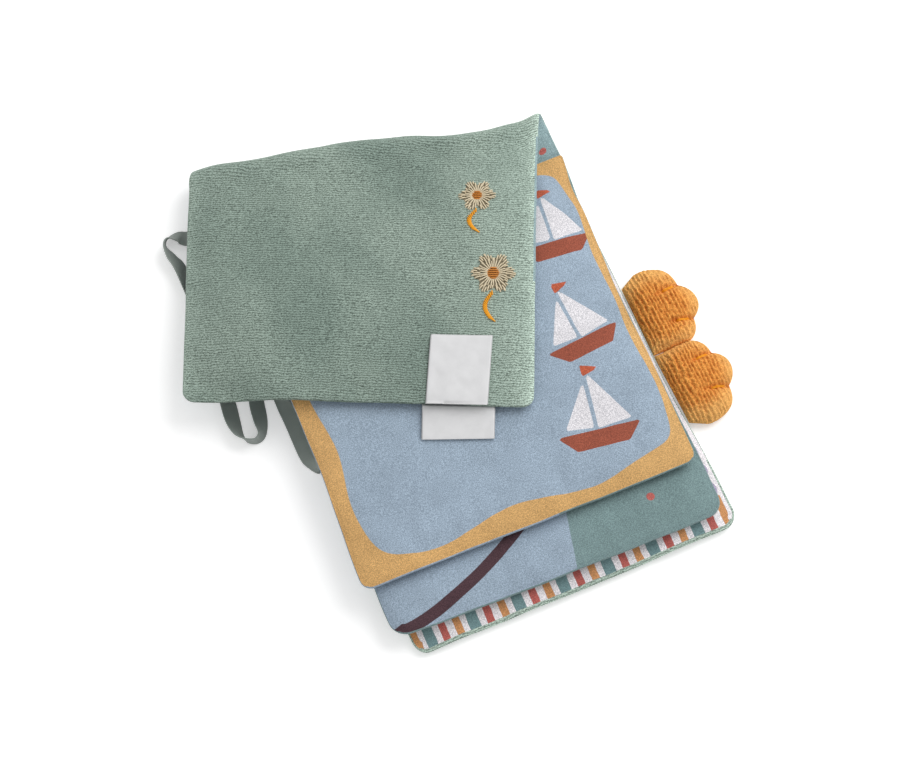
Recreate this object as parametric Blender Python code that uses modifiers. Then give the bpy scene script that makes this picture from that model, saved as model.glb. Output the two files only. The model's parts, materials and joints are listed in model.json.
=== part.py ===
"""Baby soft book, closed loosely: it lies on its front cover and its back cover is
folded over the two leaves along a skewed line. Metres, +Z up, the free edges towards -Y,
the spine towards +Y, the origin in the middle of the front cover's flat underside."""

from math import cos, exp, pi, radians, sin, tan

import bmesh
import bpy
from mathutils import Matrix, Vector
from mathutils.bvhtree import BVHTree

MM = 0.001

# Fabrics and filling
FABRIC = 0.9 * MM
LABEL_CLOTH = 0.5 * MM
CLEARANCE = 0.3 * MM
FILL_CLEARANCE = 0.8 * MM
SEAM_HEIGHT = 2.2 * MM
SEAM_THICKNESS = 2.4 * MM
SEAM_ALLOWANCE = 4.0 * MM
CROWN_REACH = 16.0 * MM

# Covers and leaves
COVER_WIDTH = 166.0 * MM
COVER_LENGTH = 165.0 * MM
COVER_THICKNESS = 7.5 * MM
SPINE_THICKNESS = 5.5 * MM
BACK_THICKNESS = 5.5 * MM
LEAF_WIDTH = 165.0 * MM
LEAF_LENGTH = 169.5 * MM
LEAF_THICKNESS = 7.0 * MM
CORNER_RADIUS = 5.5 * MM
FRONT_CORNER_RADIUS = 8.0 * MM
LEAF_1_CORNER_RADIUS = 8.0 * MM
LEAF_2_CORNER_RADIUS = 4.0 * MM
SEWN_CORNER_RADIUS = 1.5 * MM

# How the pile lies: sideways shifts, and where the leaves are sewn to the spine
FRONT_LEAN = -3.5 * MM
SPINE_LEAN = -1.0 * MM
LEAF_1_SEAM = 9.5 * MM
LEAF_2_SEAM = 33.0 * MM
LEAF_1_SHIFT = -4.5 * MM
LEAF_1_LEAN = -4.5 * MM
LEAF_2_SHIFT = -8.0 * MM
LEAF_1_DROP = 20.0 * MM
LEAF_2_DROP = 36.0 * MM
LEAF_2_TUCK = 4.2 * MM
LEAF_2_TUCK_RUN = 75.0 * MM
LEAF_2_BOW = 1.2 * MM
LEAF_2_BOW_AT = 33.0 * MM
LEAF_2_BOW_REACH = 28.0 * MM
LEAF_2_FLARE = 3.2 * MM
LEAF_2_FLARE_FROM = 88.0 * MM
LEAF_2_FLARE_RUN = 27.5 * MM
SIDE_TUCK = 2.8 * MM
SIDE_TUCK_FROM = -70.0 * MM
SIDE_TUCK_RUN = 75.0 * MM
SPINE_TUCK_RUN = 35.0 * MM

# The free edges: how far they reach out, their slant and their bow
FRONT_REACH = 4.05 * MM
FRONT_SLANT = -1.35 * MM
FRONT_BOW = 0.5 * MM
LEAF_1_REACH = 1.35 * MM
LEAF_1_SLANT = 0.35 * MM
LEAF_1_BOW = 1.05 * MM

# The fold of the back cover
FOLD_FROM_SPINE = 70.0 * MM
FOLD_SHIFT = -5.0 * MM
FOLD_SKEW = radians(11.8)
FOLD_INNER_RADIUS = 3.5 * MM
FOLD_OVERHANG_DROOP = 8.0 * MM
FOLD_OVERHANG_REACH = 45.0 * MM
FOLD_RAMP_END = 22.0 * MM
FOLD_RAMP = 56.0 * MM
BACK_COVER_RIGHT_LENGTH = 151.2 * MM

# Labels sewn into the back cover's free edge
LABEL_SHIFT = 49.0 * MM
CARE_LABEL_WIDTH = 29.0 * MM
CARE_LABEL_LENGTH = 34.5 * MM
LOOP_LABEL_WIDTH = 34.0 * MM
LOOP_LABEL_LENGTH = 16.5 * MM
LABEL_INSET = 0.6 * MM

# Embroidered flowers on the back cover
FLOWER_RADIUS = 11.0 * MM
FLOWER_HEIGHT = 0.8 * MM
FLOWER_CLEARANCE = 0.5 * MM
FLOWER_CENTRE_RADIUS = 3.2 * MM
FLOWER_FROM_SIDE = 20.0 * MM
FLOWER_PITCH = 41.0 * MM
FLOWER_FIRST = 66.0 * MM
STEM_LENGTH = 15.0 * MM
STEM_WIDTH = 1.6 * MM

# Plush feet sewn into the front cover's side seam
FOOT_LENGTH = 29.0 * MM
FOOT_WIDTH = 39.5 * MM
FOOT_THICKNESS = 9.5 * MM
FOOT_PITCH = 37.0 * MM
FOOT_MIDDLE = 6.0 * MM
FOOT_CROWN_REACH = 12.0 * MM
TOE_STITCH_WIDTH = 1.3 * MM
TOE_STITCH_HEIGHT = 1.0 * MM

# The ribbon sewn at both ends into the spine's left seam
RIBBON_WIDTH = 8.5 * MM
RIBBON_THICKNESS = 0.7 * MM
RIBBON_RUN_OUT = 4.0 * MM
RIBBON_STEPS = 84

# Grid cells of a panel
PANEL_CELLS = 12
NARROW_CELLS = 6

SPINE_EDGE = COVER_LENGTH / 2
FOLD_MIDDLE_Z = SPINE_THICKNESS + FOLD_INNER_RADIUS
STACK_LEAF_1 = COVER_THICKNESS + CLEARANCE
STACK_LEAF_2 = STACK_LEAF_1 + LEAF_THICKNESS + CLEARANCE
STACK_BACK = STACK_LEAF_2 + LEAF_THICKNESS + CLEARANCE
SPINE_TOP = SPINE_THICKNESS + CLEARANCE

# The ribbon's route: outwards from the cover's side, along the cover, height, and roll
# in right angles, as shares of the cover's width, its length and the ribbon's width
RIBBON_ROUTE_SHARES = (
    (0.094, 0.895, 0.52, 0.55),
    (0.120, 0.912, 0.56, 0.85),
    (0.160, 0.915, 0.56, 0.85),
    (0.178, 0.885, 0.56, 0.85),
    (0.166, 0.788, 0.55, 0.90),
    (0.178, 0.576, 0.55, 0.90),
    (0.187, 0.450, 0.52, 1.25),
    (0.195, 0.366, 0.43, 1.48),
    (0.201, 0.316, 0.44, 1.46),
    (0.201, 0.272, 0.50, 1.28),
    (0.188, 0.242, 0.55, 1.05),
    (0.163, 0.230, 0.55, 1.00),
    (0.141, 0.244, 0.54, 0.85),
    (0.129, 0.285, 0.47, 0.60),
    (0.120, 0.334, 0.45, 0.52),
    (0.108, 0.380, 0.51, 0.72),
    (0.090, 0.400, 0.55, 0.98),
    (0.072, 0.385, 0.54, 0.98),
    (0.060, 0.333, 0.47, 0.65),
    (0.055, 0.273, 0.31, 0.15),
    (0.054, 0.152, 0.28, 0.10),
    (0.048, 0.106, 0.45, 0.60),
    (0.036, 0.082, 0.53, 0.95),
    (0.026, 0.103, 0.53, 0.95),
    (0.024, 0.182, 0.53, 0.95),
    (0.028, 0.285, 0.51, 0.90),
    (0.040, 0.376, 0.44, 0.65),
    (0.048, 0.461, 0.38, 0.40),
    (0.049, 0.509, 0.38, 0.30),
)
RIBBON_ROOT_SHARES = (0.867, 0.542)

# Outlines, as shares of each piece's own size
TOE_LOBE_SHARE = 0.17
OUTER_TOE_SHARE = 1.1
STITCH_INNER_SHARE = 0.12
STITCH_LONG_SHARE = 0.5
FOOT_ROOT_SHARE = 0.92
FOOT_CENTRE_SHARE = 0.36
FOOT_FILL_SHARE = 0.6
FOOT_SWEEP = radians(100)
TOE_SPREAD = radians(31)
PETAL_LOBE_SHARE = 0.3
PETALS = 6


def ease(value):
    """Places grid lines closer together towards both edges."""
    return sin(pi / 2 * value)


def smooth(value):
    value = min(max(value, 0.0), 1.0)
    return value * value * (3 - 2 * value)


def crown(distance, reach=CROWN_REACH):
    """How full a pad is at this distance from its seam: 0 at the seam, 1 past the reach."""
    left = 1 - min(max(distance / reach, 0.0), 1.0)
    return 1 - left * left


def fold_y(x):
    """The fold line's place along Y."""
    return FOLD_RIGHT.y + tan(FOLD_SKEW) * (FOLD_RIGHT.x - x)


def front_centre(y):
    """The front cover leans a little sideways towards the spine."""
    return FRONT_LEAN * (y + COVER_LENGTH / 2) / COVER_LENGTH


def front_side(y, side):
    return front_centre(y) + side * COVER_WIDTH / 2


def spine_centre(y):
    return FRONT_LEAN + SPINE_LEAN * smooth((y - SPINE_EDGE) / LEAF_2_DROP)


def free_edge(reach, slant, bow, width, edge):
    """A free edge that slants and bows outwards a little."""

    def place(x):
        share = 2 * x / width
        return edge - reach - slant * share - bow * (1 - share * share)

    return place


def leaf_2_tuck(y):
    """The upper leaf's left side is drawn in towards the spine."""
    start = SPINE_EDGE + LEAF_2_SEAM - LEAF_LENGTH
    return LEAF_2_TUCK * smooth((y - start) / LEAF_2_TUCK_RUN)


def leaf_2_side(y):
    """The upper leaf's right side bows in at its middle and spreads at its seam."""
    bow = exp(-(((y - LEAF_2_BOW_AT) / LEAF_2_BOW_REACH) ** 2))
    flare = smooth((y - LEAF_2_FLARE_FROM) / LEAF_2_FLARE_RUN)
    return LEAF_2_BOW * bow - LEAF_2_FLARE * flare


def front_tuck(y):
    """The right side is drawn in along the feet, and widens again towards the fold."""
    return SIDE_TUCK * smooth((y - SIDE_TUCK_FROM) / SIDE_TUCK_RUN)


def spine_tuck(y):
    return SIDE_TUCK * (1 - smooth((y - SPINE_EDGE) / SPINE_TUCK_RUN))


def front_right(y):
    """The front cover's right side, to which the feet are sewn."""
    return Vector((front_side(y, 1) - front_tuck(y), y))


def flat_base(x, y):
    return 0.0


def leaf_1_base(x, y):
    share = (SPINE_EDGE + LEAF_1_SEAM - y) / LEAF_1_DROP
    return SPINE_TOP + (STACK_LEAF_1 - SPINE_TOP) * smooth(share)


def leaf_2_base(x, y):
    share = (SPINE_EDGE + LEAF_2_SEAM - y) / LEAF_2_DROP
    return SPINE_TOP + (STACK_LEAF_2 - SPINE_TOP) * smooth(share)


def back_base(x, y):
    """The folded cover climbs from its fold onto the pile and droops past the pile's side."""
    fold_base = SPINE_THICKNESS + 2 * FOLD_INNER_RADIUS
    ramp = (SPINE_EDGE + LEAF_2_SEAM + FOLD_RAMP_END - y) / FOLD_RAMP
    beyond = (LEAF_2_SHIFT - LEAF_WIDTH / 2 - x) / FOLD_OVERHANG_REACH
    climb = (STACK_BACK - fold_base) * smooth(ramp)
    return fold_base + climb - FOLD_OVERHANG_DROOP * smooth(beyond)


class Pad:
    """A sewn pad: its outline in its own plan, where it lies, and its thickness."""

    def __init__(self, width, thickness, base, start, end, centre=None, turn=0.0, at=(0, 0)):
        self.width = width
        self.thickness = thickness
        self.base = base
        self.start = start
        self.end = end
        self.centre = centre or (lambda y: 0.0)
        self.turn = Matrix.Rotation(turn, 2)
        self.at = Vector(at)
        self.corner = CORNER_RADIUS
        self.end_corner = CORNER_RADIUS
        self.left_tuck = lambda y: 0.0
        self.right_tuck = lambda y: 0.0
        self.closed_start = True
        self.closed_end = True

    def plan(self, s, t, inset=0.0):
        """A place in the pad's own plan, its grid line s across and t along, with round corners."""
        half = self.width / 2 - inset
        x = half * ease(s)
        low = self.start(x) + (inset if self.closed_start else 0.0)
        high = self.end(x) - (inset if self.closed_end else 0.0)
        y = low + (high - low) * (ease(t) + 1) / 2
        for closed, edge, way, corner in (
            (self.closed_start, low, -1, self.corner),
            (self.closed_end, high, 1, self.end_corner),
        ):
            radius = max(corner - inset, CLEARANCE)
            corner_x = half - radius
            corner_y = edge - way * radius
            out_x = abs(x) - corner_x
            out_y = (y - corner_y) * way
            if closed and out_x > 0 and out_y > 0:
                shrink = max(out_x, out_y) / Vector((out_x, out_y)).length
                x = (corner_x + out_x * shrink) * (1 if x > 0 else -1)
                y = corner_y + out_y * shrink * way
        return x, y

    def fullness(self, x, y):
        full = crown(self.width / 2 - abs(x))
        if self.closed_start:
            full *= crown(y - self.start(x))
        if self.closed_end:
            full *= crown(self.end(x) - y)
        return full

    def world(self, x, y):
        share = x / self.width
        tucked = self.left_tuck(y) * (1 / 2 - share) - self.right_tuck(y) * (1 / 2 + share)
        return self.turn @ Vector((x + tucked + self.centre(y), y)) + self.at

    def faces(self, x, y):
        """The place in the world, and the heights of the pad's lower and upper face there."""
        at = self.world(x, y)
        full = self.fullness(x, y)
        base = self.base(at.x, at.y)
        low = base + SEAM_HEIGHT * (1 - full)
        high = base + (SEAM_HEIGHT + SEAM_THICKNESS) * (1 - full) + self.thickness * full
        return at, low, high

    def upper(self, s, t):
        at, low, high = self.faces(*self.plan(s, t))
        return at.x, at.y, high

    def lower(self, s, t):
        at, low, high = self.faces(*self.plan(s, t))
        return at.x, at.y, low

    def fill_upper(self, s, t):
        at, low, high = self.faces(*self.plan(s, t, SEAM_ALLOWANCE))
        return at.x, at.y, high - FABRIC - FILL_CLEARANCE

    def fill_lower(self, s, t):
        at, low, high = self.faces(*self.plan(s, t, SEAM_ALLOWANCE))
        return at.x, at.y, low + FABRIC + FILL_CLEARANCE


def material(name, colour, roughness=0.95):
    found = bpy.data.materials.get(name)
    if found:
        return found
    made = bpy.data.materials.new(name)
    made.use_nodes = True
    shader = made.node_tree.nodes["Principled BSDF"]
    shader.inputs["Base Color"].default_value = (*colour, 1.0)
    shader.inputs["Roughness"].default_value = roughness
    shader.inputs["Metallic"].default_value = 0.0
    made.diffuse_color = (*colour, 1.0)
    return made


def finished(name, mesh_in_progress, finish, parent=None):
    """Makes a mesh an object with its finish, in the book's collection."""
    mesh = bpy.data.meshes.new(name)
    mesh_in_progress.to_mesh(mesh)
    mesh_in_progress.free()
    mesh.shade_smooth()
    made = bpy.data.objects.new(name, mesh)
    mesh.materials.append(material(*finish))
    BOOK.objects.link(made)
    if parent:
        made.parent = parent
        made.matrix_parent_inverse = parent.matrix_world.inverted()
    return made


def grid(across, along):
    shape = bmesh.new()
    bmesh.ops.create_grid(shape, x_segments=across, y_segments=along, size=1.0)
    return shape


def sheet(name, place, finish, cells, thickness=FABRIC, side=1, lies=True, parent=None):
    """A sheet of fabric: a grid laid along place(s, t), then given its thickness. One that
    lies faces up, so side 1 thickens it upwards and side -1 downwards."""
    shape = grid(*cells)
    for vertex in shape.verts:
        vertex.co = place(vertex.co.x, vertex.co.y)
    bmesh.ops.remove_doubles(shape, verts=shape.verts, dist=CLEARANCE / 10)
    if lies:
        bmesh.ops.recalc_face_normals(shape, faces=shape.faces)
    if lies and sum(face.normal.z for face in shape.faces) < 0:
        bmesh.ops.reverse_faces(shape, faces=shape.faces)
    made = finished(name, shape, finish, parent)
    wall = made.modifiers.new("thickness", "SOLIDIFY")
    wall.thickness = thickness
    wall.offset = side
    return made


def filling(name, lower, upper, cells, parent=None):
    """A body of wadding between a lower and an upper face."""
    shape = grid(*cells)
    lower_layer = {vertex: vertex.co.copy() for vertex in shape.verts}
    pulled = bmesh.ops.extrude_face_region(shape, geom=list(shape.faces))["geom"]
    upper_layer = [item for item in pulled if isinstance(item, bmesh.types.BMVert)]
    for vertex in upper_layer:
        vertex.co = upper(vertex.co.x, vertex.co.y)
    for vertex, unit in lower_layer.items():
        vertex.co = lower(unit.x, unit.y)
    bmesh.ops.recalc_face_normals(shape, faces=shape.faces)
    if shape.calc_volume(signed=True) < 0:
        bmesh.ops.reverse_faces(shape, faces=shape.faces)
    return finished(name, shape, WADDING, parent)


def padded_piece(name, pad, upper_name, upper_finish, lower_name, lower_finish, parent, cells):
    """The three pieces of a pad: upper panel, lower panel, and wadding between them."""
    sheet(f"{name}_{upper_name}", pad.upper, upper_finish, cells, side=-1, parent=parent)
    sheet(f"{name}_{lower_name}", pad.lower, lower_finish, cells, side=1, parent=parent)
    filling(f"{name}_wadding", pad.fill_lower, pad.fill_upper, cells, parent)


def empty(name, at, parent=None):
    """A joint's place, on its axis."""
    made = bpy.data.objects.new(name, None)
    BOOK.objects.link(made)
    made.parent = parent
    if parent:
        made.matrix_parent_inverse = parent.matrix_world.inverted()
    made.location = at
    bpy.context.view_layer.update()
    return made


def fold_roll(name, outside, side, finish, parent):
    """One layer of the soft half roll at the fold, pinched towards its two side seams."""
    across = Vector((sin(FOLD_SKEW), cos(FOLD_SKEW)))

    def place(s, t):
        x = spine_centre(FOLD_RIGHT.y) + COVER_WIDTH / 2 * ease(s)
        pinch = 1 - crown(COVER_WIDTH / 2 * (1 - abs(ease(s))))
        top = (t + 1) / 2
        near = SEAM_HEIGHT
        far = SPINE_THICKNESS - SEAM_HEIGHT - SEAM_THICKNESS
        if outside:
            radius = FOLD_MIDDLE_Z - pinch * (near + (far - near) * top)
        else:
            radius = FOLD_INNER_RADIUS + pinch * (far + (near - far) * top)
        out = across * (radius * cos(pi / 2 * t) + CLEARANCE)
        x_there = x + out.x + FOLD_SHIFT * top
        return x_there, fold_y(x) + out.y, FOLD_MIDDLE_Z + radius * sin(pi / 2 * t)

    cells = (PANEL_CELLS, NARROW_CELLS + 2)
    return sheet(name, place, finish, cells, side=side, lies=False, parent=parent)


def fold_filling(name, parent):
    across = Vector((sin(FOLD_SKEW), cos(FOLD_SKEW)))
    layer = FABRIC + FILL_CLEARANCE

    def place(s, t, radius_full, pull):
        half = COVER_WIDTH / 2 - 2 * SEAM_ALLOWANCE
        x = spine_centre(FOLD_RIGHT.y) + half * ease(s)
        pinch = 1 - crown(2 * SEAM_ALLOWANCE + half * (1 - abs(ease(s))))
        radius = radius_full + pull * pinch * SEAM_HEIGHT
        out = across * (radius * cos(pi / 2 * t) + CLEARANCE)
        x_there = x + out.x + FOLD_SHIFT * (t + 1) / 2
        return x_there, fold_y(x) + out.y, FOLD_MIDDLE_Z + radius * sin(pi / 2 * t)

    inner = FOLD_INNER_RADIUS + layer
    outer = FOLD_MIDDLE_Z - layer
    return filling(
        name,
        lambda s, t: place(s, t, inner, 1),
        lambda s, t: place(s, t, outer, -1),
        (PANEL_CELLS, NARROW_CELLS + 2),
        parent,
    )


def care_label(parent):
    def place(s, t):
        x = LABEL_SHIFT + CARE_LABEL_WIDTH / 2 * s
        y = LABEL_INSET + CARE_LABEL_LENGTH * (t + 1) / 2
        return on_back_cover(x, y)

    cells = (NARROW_CELLS, NARROW_CELLS)
    sheet("care_label", place, LABEL_SATIN, cells, LABEL_CLOTH, parent=parent)


def loop_label(parent):
    """The folded label hangs out of the free edge and comes to rest on the upper leaf."""
    root = STACK_BACK + SEAM_HEIGHT
    tip = STACK_BACK + CLEARANCE / 3

    def place(s, t):
        out = (1 - t) / 2
        x = LABEL_SHIFT + LOOP_LABEL_WIDTH / 2 * s
        at = BACK.world(x, -CLEARANCE - LOOP_LABEL_LENGTH * out)
        return at.x, at.y, tip + (root - tip) * (1 - out) ** 2

    cells = (NARROW_CELLS, NARROW_CELLS)
    sheet("loop_label", place, LABEL_SATIN, cells, LABEL_CLOTH, parent=parent)


def panel_tree(pad, cells):
    """A panel's outer face as a search tree, for what is sewn on top of it."""
    shape = grid(*cells)
    for vertex in shape.verts:
        vertex.co = pad.upper(vertex.co.x, vertex.co.y)
    bmesh.ops.triangulate(shape, faces=shape.faces)
    tree = BVHTree.FromBMesh(shape)
    shape.free()
    return tree


def on_back_cover(x, y):
    """A place on the back cover's velour, given in the cover's own plan."""
    at = BACK.world(x, y)
    above = Vector((at.x, at.y, 2 * STACK_BACK))
    hit = BACK_TREE.ray_cast(above, Vector((0.0, 0.0, -1.0)))[0]
    return at.x, at.y, hit.z + FLOWER_CLEARANCE


def embroidered_flower(number, x, y, size, parent):
    """A flower with rounded petals, its centre and a curved stem, stitched on the velour."""
    name = f"flower_{number}"
    radius = FLOWER_RADIUS * size
    middle = FLOWER_CENTRE_RADIUS * size

    def petals(s, t):
        angle = pi * s
        lobe = 1 - PETAL_LOBE_SHARE * (1 - abs(cos(PETALS / 2 * angle)))
        hole = middle + CLEARANCE
        out = hole + (radius * lobe - hole) * (t + 1) / 2
        return on_back_cover(x + out * cos(angle), y + out * sin(angle))

    def centre(s, t):
        out = middle * (t + 1) / 2
        return on_back_cover(x + out * cos(pi * s), y + out * sin(pi * s))

    def stem(s, t):
        along = (t + 1) / 2
        bend = STEM_WIDTH * 2 * sin(pi * along)
        down = radius + CLEARANCE + STEM_LENGTH * size * along
        return on_back_cover(x - bend + STEM_WIDTH * s / 2, y - down)

    around = 4 * PETALS
    height = FLOWER_HEIGHT
    sheet(f"{name}_petals", petals, THREAD_CREAM, (around, 2), height, parent=parent)
    sheet(f"{name}_centre", centre, THREAD_ORANGE, (around // 2, 1), height, parent=parent)
    sheet(f"{name}_stem", stem, THREAD_YELLOW, (1, NARROW_CELLS), height, parent=parent)


class Foot:
    """A plush foot with three toes, sewn to the front cover's right side."""

    def __init__(self, middle, outward):
        self.middle = middle
        self.outward = outward
        first = front_right(middle - FOOT_PITCH / 2)
        second = front_right(middle + FOOT_PITCH / 2)
        self.along = (second - first).normalized()
        self.out = Vector((self.along.y, -self.along.x))
        self.root = (first + second) / 2 + self.out * CLEARANCE

    def outline(self, angle):
        """The toes' edge, from the middle of the foot."""
        lobe = 1 - TOE_LOBE_SHARE * (1 - abs(cos(pi * angle / (2 * TOE_SPREAD))))
        radius = (FOOT_LENGTH * (1 - FOOT_CENTRE_SHARE)) * lobe
        wide = FOOT_WIDTH / 2 / (FOOT_LENGTH * (1 - FOOT_CENTRE_SHARE))
        if angle * self.outward > 0:
            wide *= OUTER_TOE_SHARE
        centre = FOOT_LENGTH * FOOT_CENTRE_SHARE
        return centre + radius * cos(angle), radius * wide * sin(angle)

    def plan(self, s, t):
        half = FOOT_ROOT_SHARE * FOOT_WIDTH / 2
        toe_x, toe_y = self.outline(FOOT_SWEEP * s)
        share = (ease(t) + 1) / 2
        return toe_x * share, half * s * (1 - share) + toe_y * share

    def fullness(self, s, t):
        side = crown(FOOT_WIDTH / 2 * (1 - abs(s)), FOOT_CROWN_REACH)
        ends = crown(FOOT_LENGTH * (1 - abs(ease(t))) / 2, FOOT_CROWN_REACH)
        return side * ends

    def heights(self, s, t):
        full = self.fullness(s, t)
        low = SEAM_HEIGHT * (1 - full)
        high = (SEAM_HEIGHT + SEAM_THICKNESS) * (1 - full) + FOOT_THICKNESS * full
        return low, high

    def world(self, x, y):
        return self.root + self.out * x + self.along * y

    def upper(self, s, t):
        at = self.world(*self.plan(s, t))
        return at.x, at.y, self.heights(s, t)[1]

    def lower(self, s, t):
        at = self.world(*self.plan(s, t))
        return at.x, at.y, self.heights(s, t)[0]

    def fill_upper(self, s, t):
        x, y, high = self.upper(FOOT_FILL_SHARE * s, FOOT_FILL_SHARE * t)
        return x, y, high - FABRIC - FILL_CLEARANCE

    def fill_lower(self, s, t):
        x, y, low = self.lower(FOOT_FILL_SHARE * s, FOOT_FILL_SHARE * t)
        return x, y, low + FABRIC + FILL_CLEARANCE

    def toe_stitch(self, way):
        """A line of thread between two toes, over the top plush."""

        def place(s, t):
            across = TOE_STITCH_WIDTH / FOOT_WIDTH * s
            grid_s = way * TOE_SPREAD / FOOT_SWEEP + across
            grid_t = STITCH_INNER_SHARE + STITCH_LONG_SHARE * (t + 1) / 2
            at = self.world(*self.plan(grid_s, grid_t))
            return at.x, at.y, self.heights(grid_s, grid_t)[1] + CLEARANCE

        return place


def plush_foot(number, middle, parent):
    name = f"foot_{number}"
    foot = Foot(middle, 1 if number == 1 else -1)
    hinge = empty(f"{name}_swing", (*foot.root, SEAM_HEIGHT + SEAM_THICKNESS), parent)
    cells = (PANEL_CELLS, NARROW_CELLS + 2)
    sheet(f"{name}_top_plush", foot.upper, PLUSH, cells, side=-1, parent=hinge)
    sheet(f"{name}_bottom_plush", foot.lower, PLUSH, cells, side=1, parent=hinge)
    filling(f"{name}_filling", foot.fill_lower, foot.fill_upper, cells, hinge)
    for stitch, way in enumerate((1, -1), 1):
        sheet(
            f"{name}_toe_stitch_{stitch}",
            foot.toe_stitch(way),
            THREAD_YELLOW,
            (1, NARROW_CELLS),
            TOE_STITCH_HEIGHT,
            parent=hinge,
        )


def ribbon_route():
    """The ribbon's middle line and roll: smooth through its places, sewn in at both ends."""
    places = []
    for out, along, up, roll in RIBBON_ROUTE_SHARES:
        x = -COVER_WIDTH / 2 - out * COVER_WIDTH
        places.append((x, along * COVER_LENGTH, up * RIBBON_WIDTH, roll * pi / 2))
    ends = []
    for along in RIBBON_ROOT_SHARES:
        y = along * COVER_LENGTH
        x = spine_centre(y) - COVER_WIDTH / 2 - CLEARANCE
        for out in (2 * CLEARANCE, RIBBON_RUN_OUT):
            ends.append((x - out, y, SEAM_HEIGHT + SEAM_THICKNESS / 2, 0.0))
    places = [*ends[:2], *places, ends[3], ends[2]]
    return [Vector((*place[:3], place[3])) for place in places]


def along_route(places, share):
    """A Catmull-Rom curve through the places."""
    spot = min(max(share, 0.0), 1.0) * (len(places) - 1)
    index = min(int(spot), len(places) - 2)
    t = spot - index
    a = places[max(index - 1, 0)]
    b = places[index]
    c = places[index + 1]
    d = places[min(index + 2, len(places) - 1)]
    return 0.5 * (
        2 * b + (c - a) * t + (2 * a - 5 * b + 4 * c - d) * t * t
        + (3 * b - a - 3 * c + d) * t * t * t
    )


def side_ribbon(parent):
    places = ribbon_route()
    step = 1 / (4 * RIBBON_STEPS)

    def place(s, t):
        share = (t + 1) / 2
        at = along_route(places, share)
        heading = along_route(places, share + step) - along_route(places, share - step)
        side = Vector((-heading.y, heading.x, 0.0)).normalized()
        across = side * cos(at.w) + Vector((0.0, 0.0, 1.0)) * sin(at.w)
        return at.to_3d() + across * RIBBON_WIDTH / 2 * s

    hinge = empty("ribbon_swing", (front_side(SPINE_EDGE, -1), SPINE_EDGE, SEAM_HEIGHT), parent)
    cells = (2, RIBBON_STEPS)
    sheet("side_ribbon", place, RIBBON, cells, RIBBON_THICKNESS, 0, False, hinge)


def build_book():
    front = empty("front_cover_frame", (0, 0, 0))
    spine = empty("front_cover_open", (0, SPINE_EDGE, SEAM_HEIGHT), front)
    back = empty("back_cover_fold", (*FOLD_RIGHT, FOLD_MIDDLE_Z), spine)
    leaf_1 = empty("leaf_1_turn", (0, SPINE_EDGE + LEAF_1_SEAM, SPINE_TOP + SEAM_HEIGHT), spine)
    leaf_2 = empty("leaf_2_turn", (0, SPINE_EDGE + LEAF_2_SEAM, SPINE_TOP + SEAM_HEIGHT), spine)
    cells = (PANEL_CELLS, PANEL_CELLS)
    narrow = (PANEL_CELLS, NARROW_CELLS)
    padded_piece(
        "front_cover", FRONT, "lining", LINING_STRIPED, "velour", VELOUR, front, cells
    )
    padded_piece("spine", SPINE, "lining", LINING_TEAL, "velour", VELOUR, spine, narrow)
    padded_piece("back_cover", BACK, "velour", VELOUR, "lining", LINING_TEAL, back, BACK_CELLS)
    padded_piece(
        "leaf_1", LEAF_1, "upper_panel", PAGE_BLUE, "lower_panel", LINING_TEAL, leaf_1, cells
    )
    padded_piece(
        "leaf_2", LEAF_2, "upper_panel", PAGE_BLUE, "lower_panel", LINING_TEAL, leaf_2, BACK_CELLS
    )
    fold_roll("fold_velour", True, 1, VELOUR, back)
    fold_roll("fold_lining", False, -1, LINING_TEAL, back)
    fold_filling("fold_wadding", back)
    edge = BACK.world(LABEL_SHIFT, 0.0)
    above_seam = STACK_BACK + SEAM_HEIGHT + SEAM_THICKNESS + CLEARANCE
    care_hinge = empty("care_label_flip", (*edge, above_seam), back)
    care_label(care_hinge)
    loop_hinge = empty("loop_label_flip", (*edge, STACK_BACK + SEAM_HEIGHT), back)
    loop_label(loop_hinge)
    for number, (size, across, along) in enumerate(FLOWER_SHARES, 1):
        x = BACK_WIDTH / 2 - FLOWER_FROM_SIDE - FLOWER_RADIUS * across
        y = FLOWER_FIRST + FLOWER_PITCH * along
        embroidered_flower(number, x, y, size, back)
    plush_foot(1, FOOT_MIDDLE + FOOT_PITCH / 2, front)
    plush_foot(2, FOOT_MIDDLE - FOOT_PITCH / 2, front)
    side_ribbon(spine)


for leftover in list(bpy.data.objects):
    bpy.data.objects.remove(leftover, do_unlink=True)
BOOK = bpy.data.collections.new("baby_soft_book")
bpy.context.scene.collection.children.link(BOOK)

VELOUR = ("sage_velour", (0.26, 0.37, 0.31))
LINING_TEAL = ("teal_lining", (0.21, 0.36, 0.35))
LINING_STRIPED = ("striped_lining", (0.78, 0.72, 0.72))
PAGE_BLUE = ("page_blue", (0.33, 0.46, 0.61))
PLUSH = ("orange_plush", (0.55, 0.22, 0.04))
WADDING = ("white_wadding", (0.8, 0.8, 0.78))
LABEL_SATIN = ("label_satin", (0.82, 0.82, 0.82), 0.5)
RIBBON = ("ribbon_satin", (0.2, 0.26, 0.24), 0.5)
THREAD_CREAM = ("cream_thread", (0.7, 0.6, 0.46), 0.6)
THREAD_ORANGE = ("orange_thread", (0.72, 0.27, 0.07), 0.6)
THREAD_YELLOW = ("yellow_thread", (0.8, 0.45, 0.1), 0.6)

# Each flower: its size, how far it stands from the side, and its place in the row
FLOWER_SHARES = ((0.95, 0.0, 0.0), (0.8, 0.75, 1.0))

BACK_WIDTH = COVER_WIDTH
FOLD_RIGHT = Vector((
    FRONT_LEAN + SPINE_LEAN + COVER_WIDTH / 2,
    SPINE_EDGE + FOLD_FROM_SPINE - COVER_WIDTH * tan(FOLD_SKEW) / 2,
))

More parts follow.
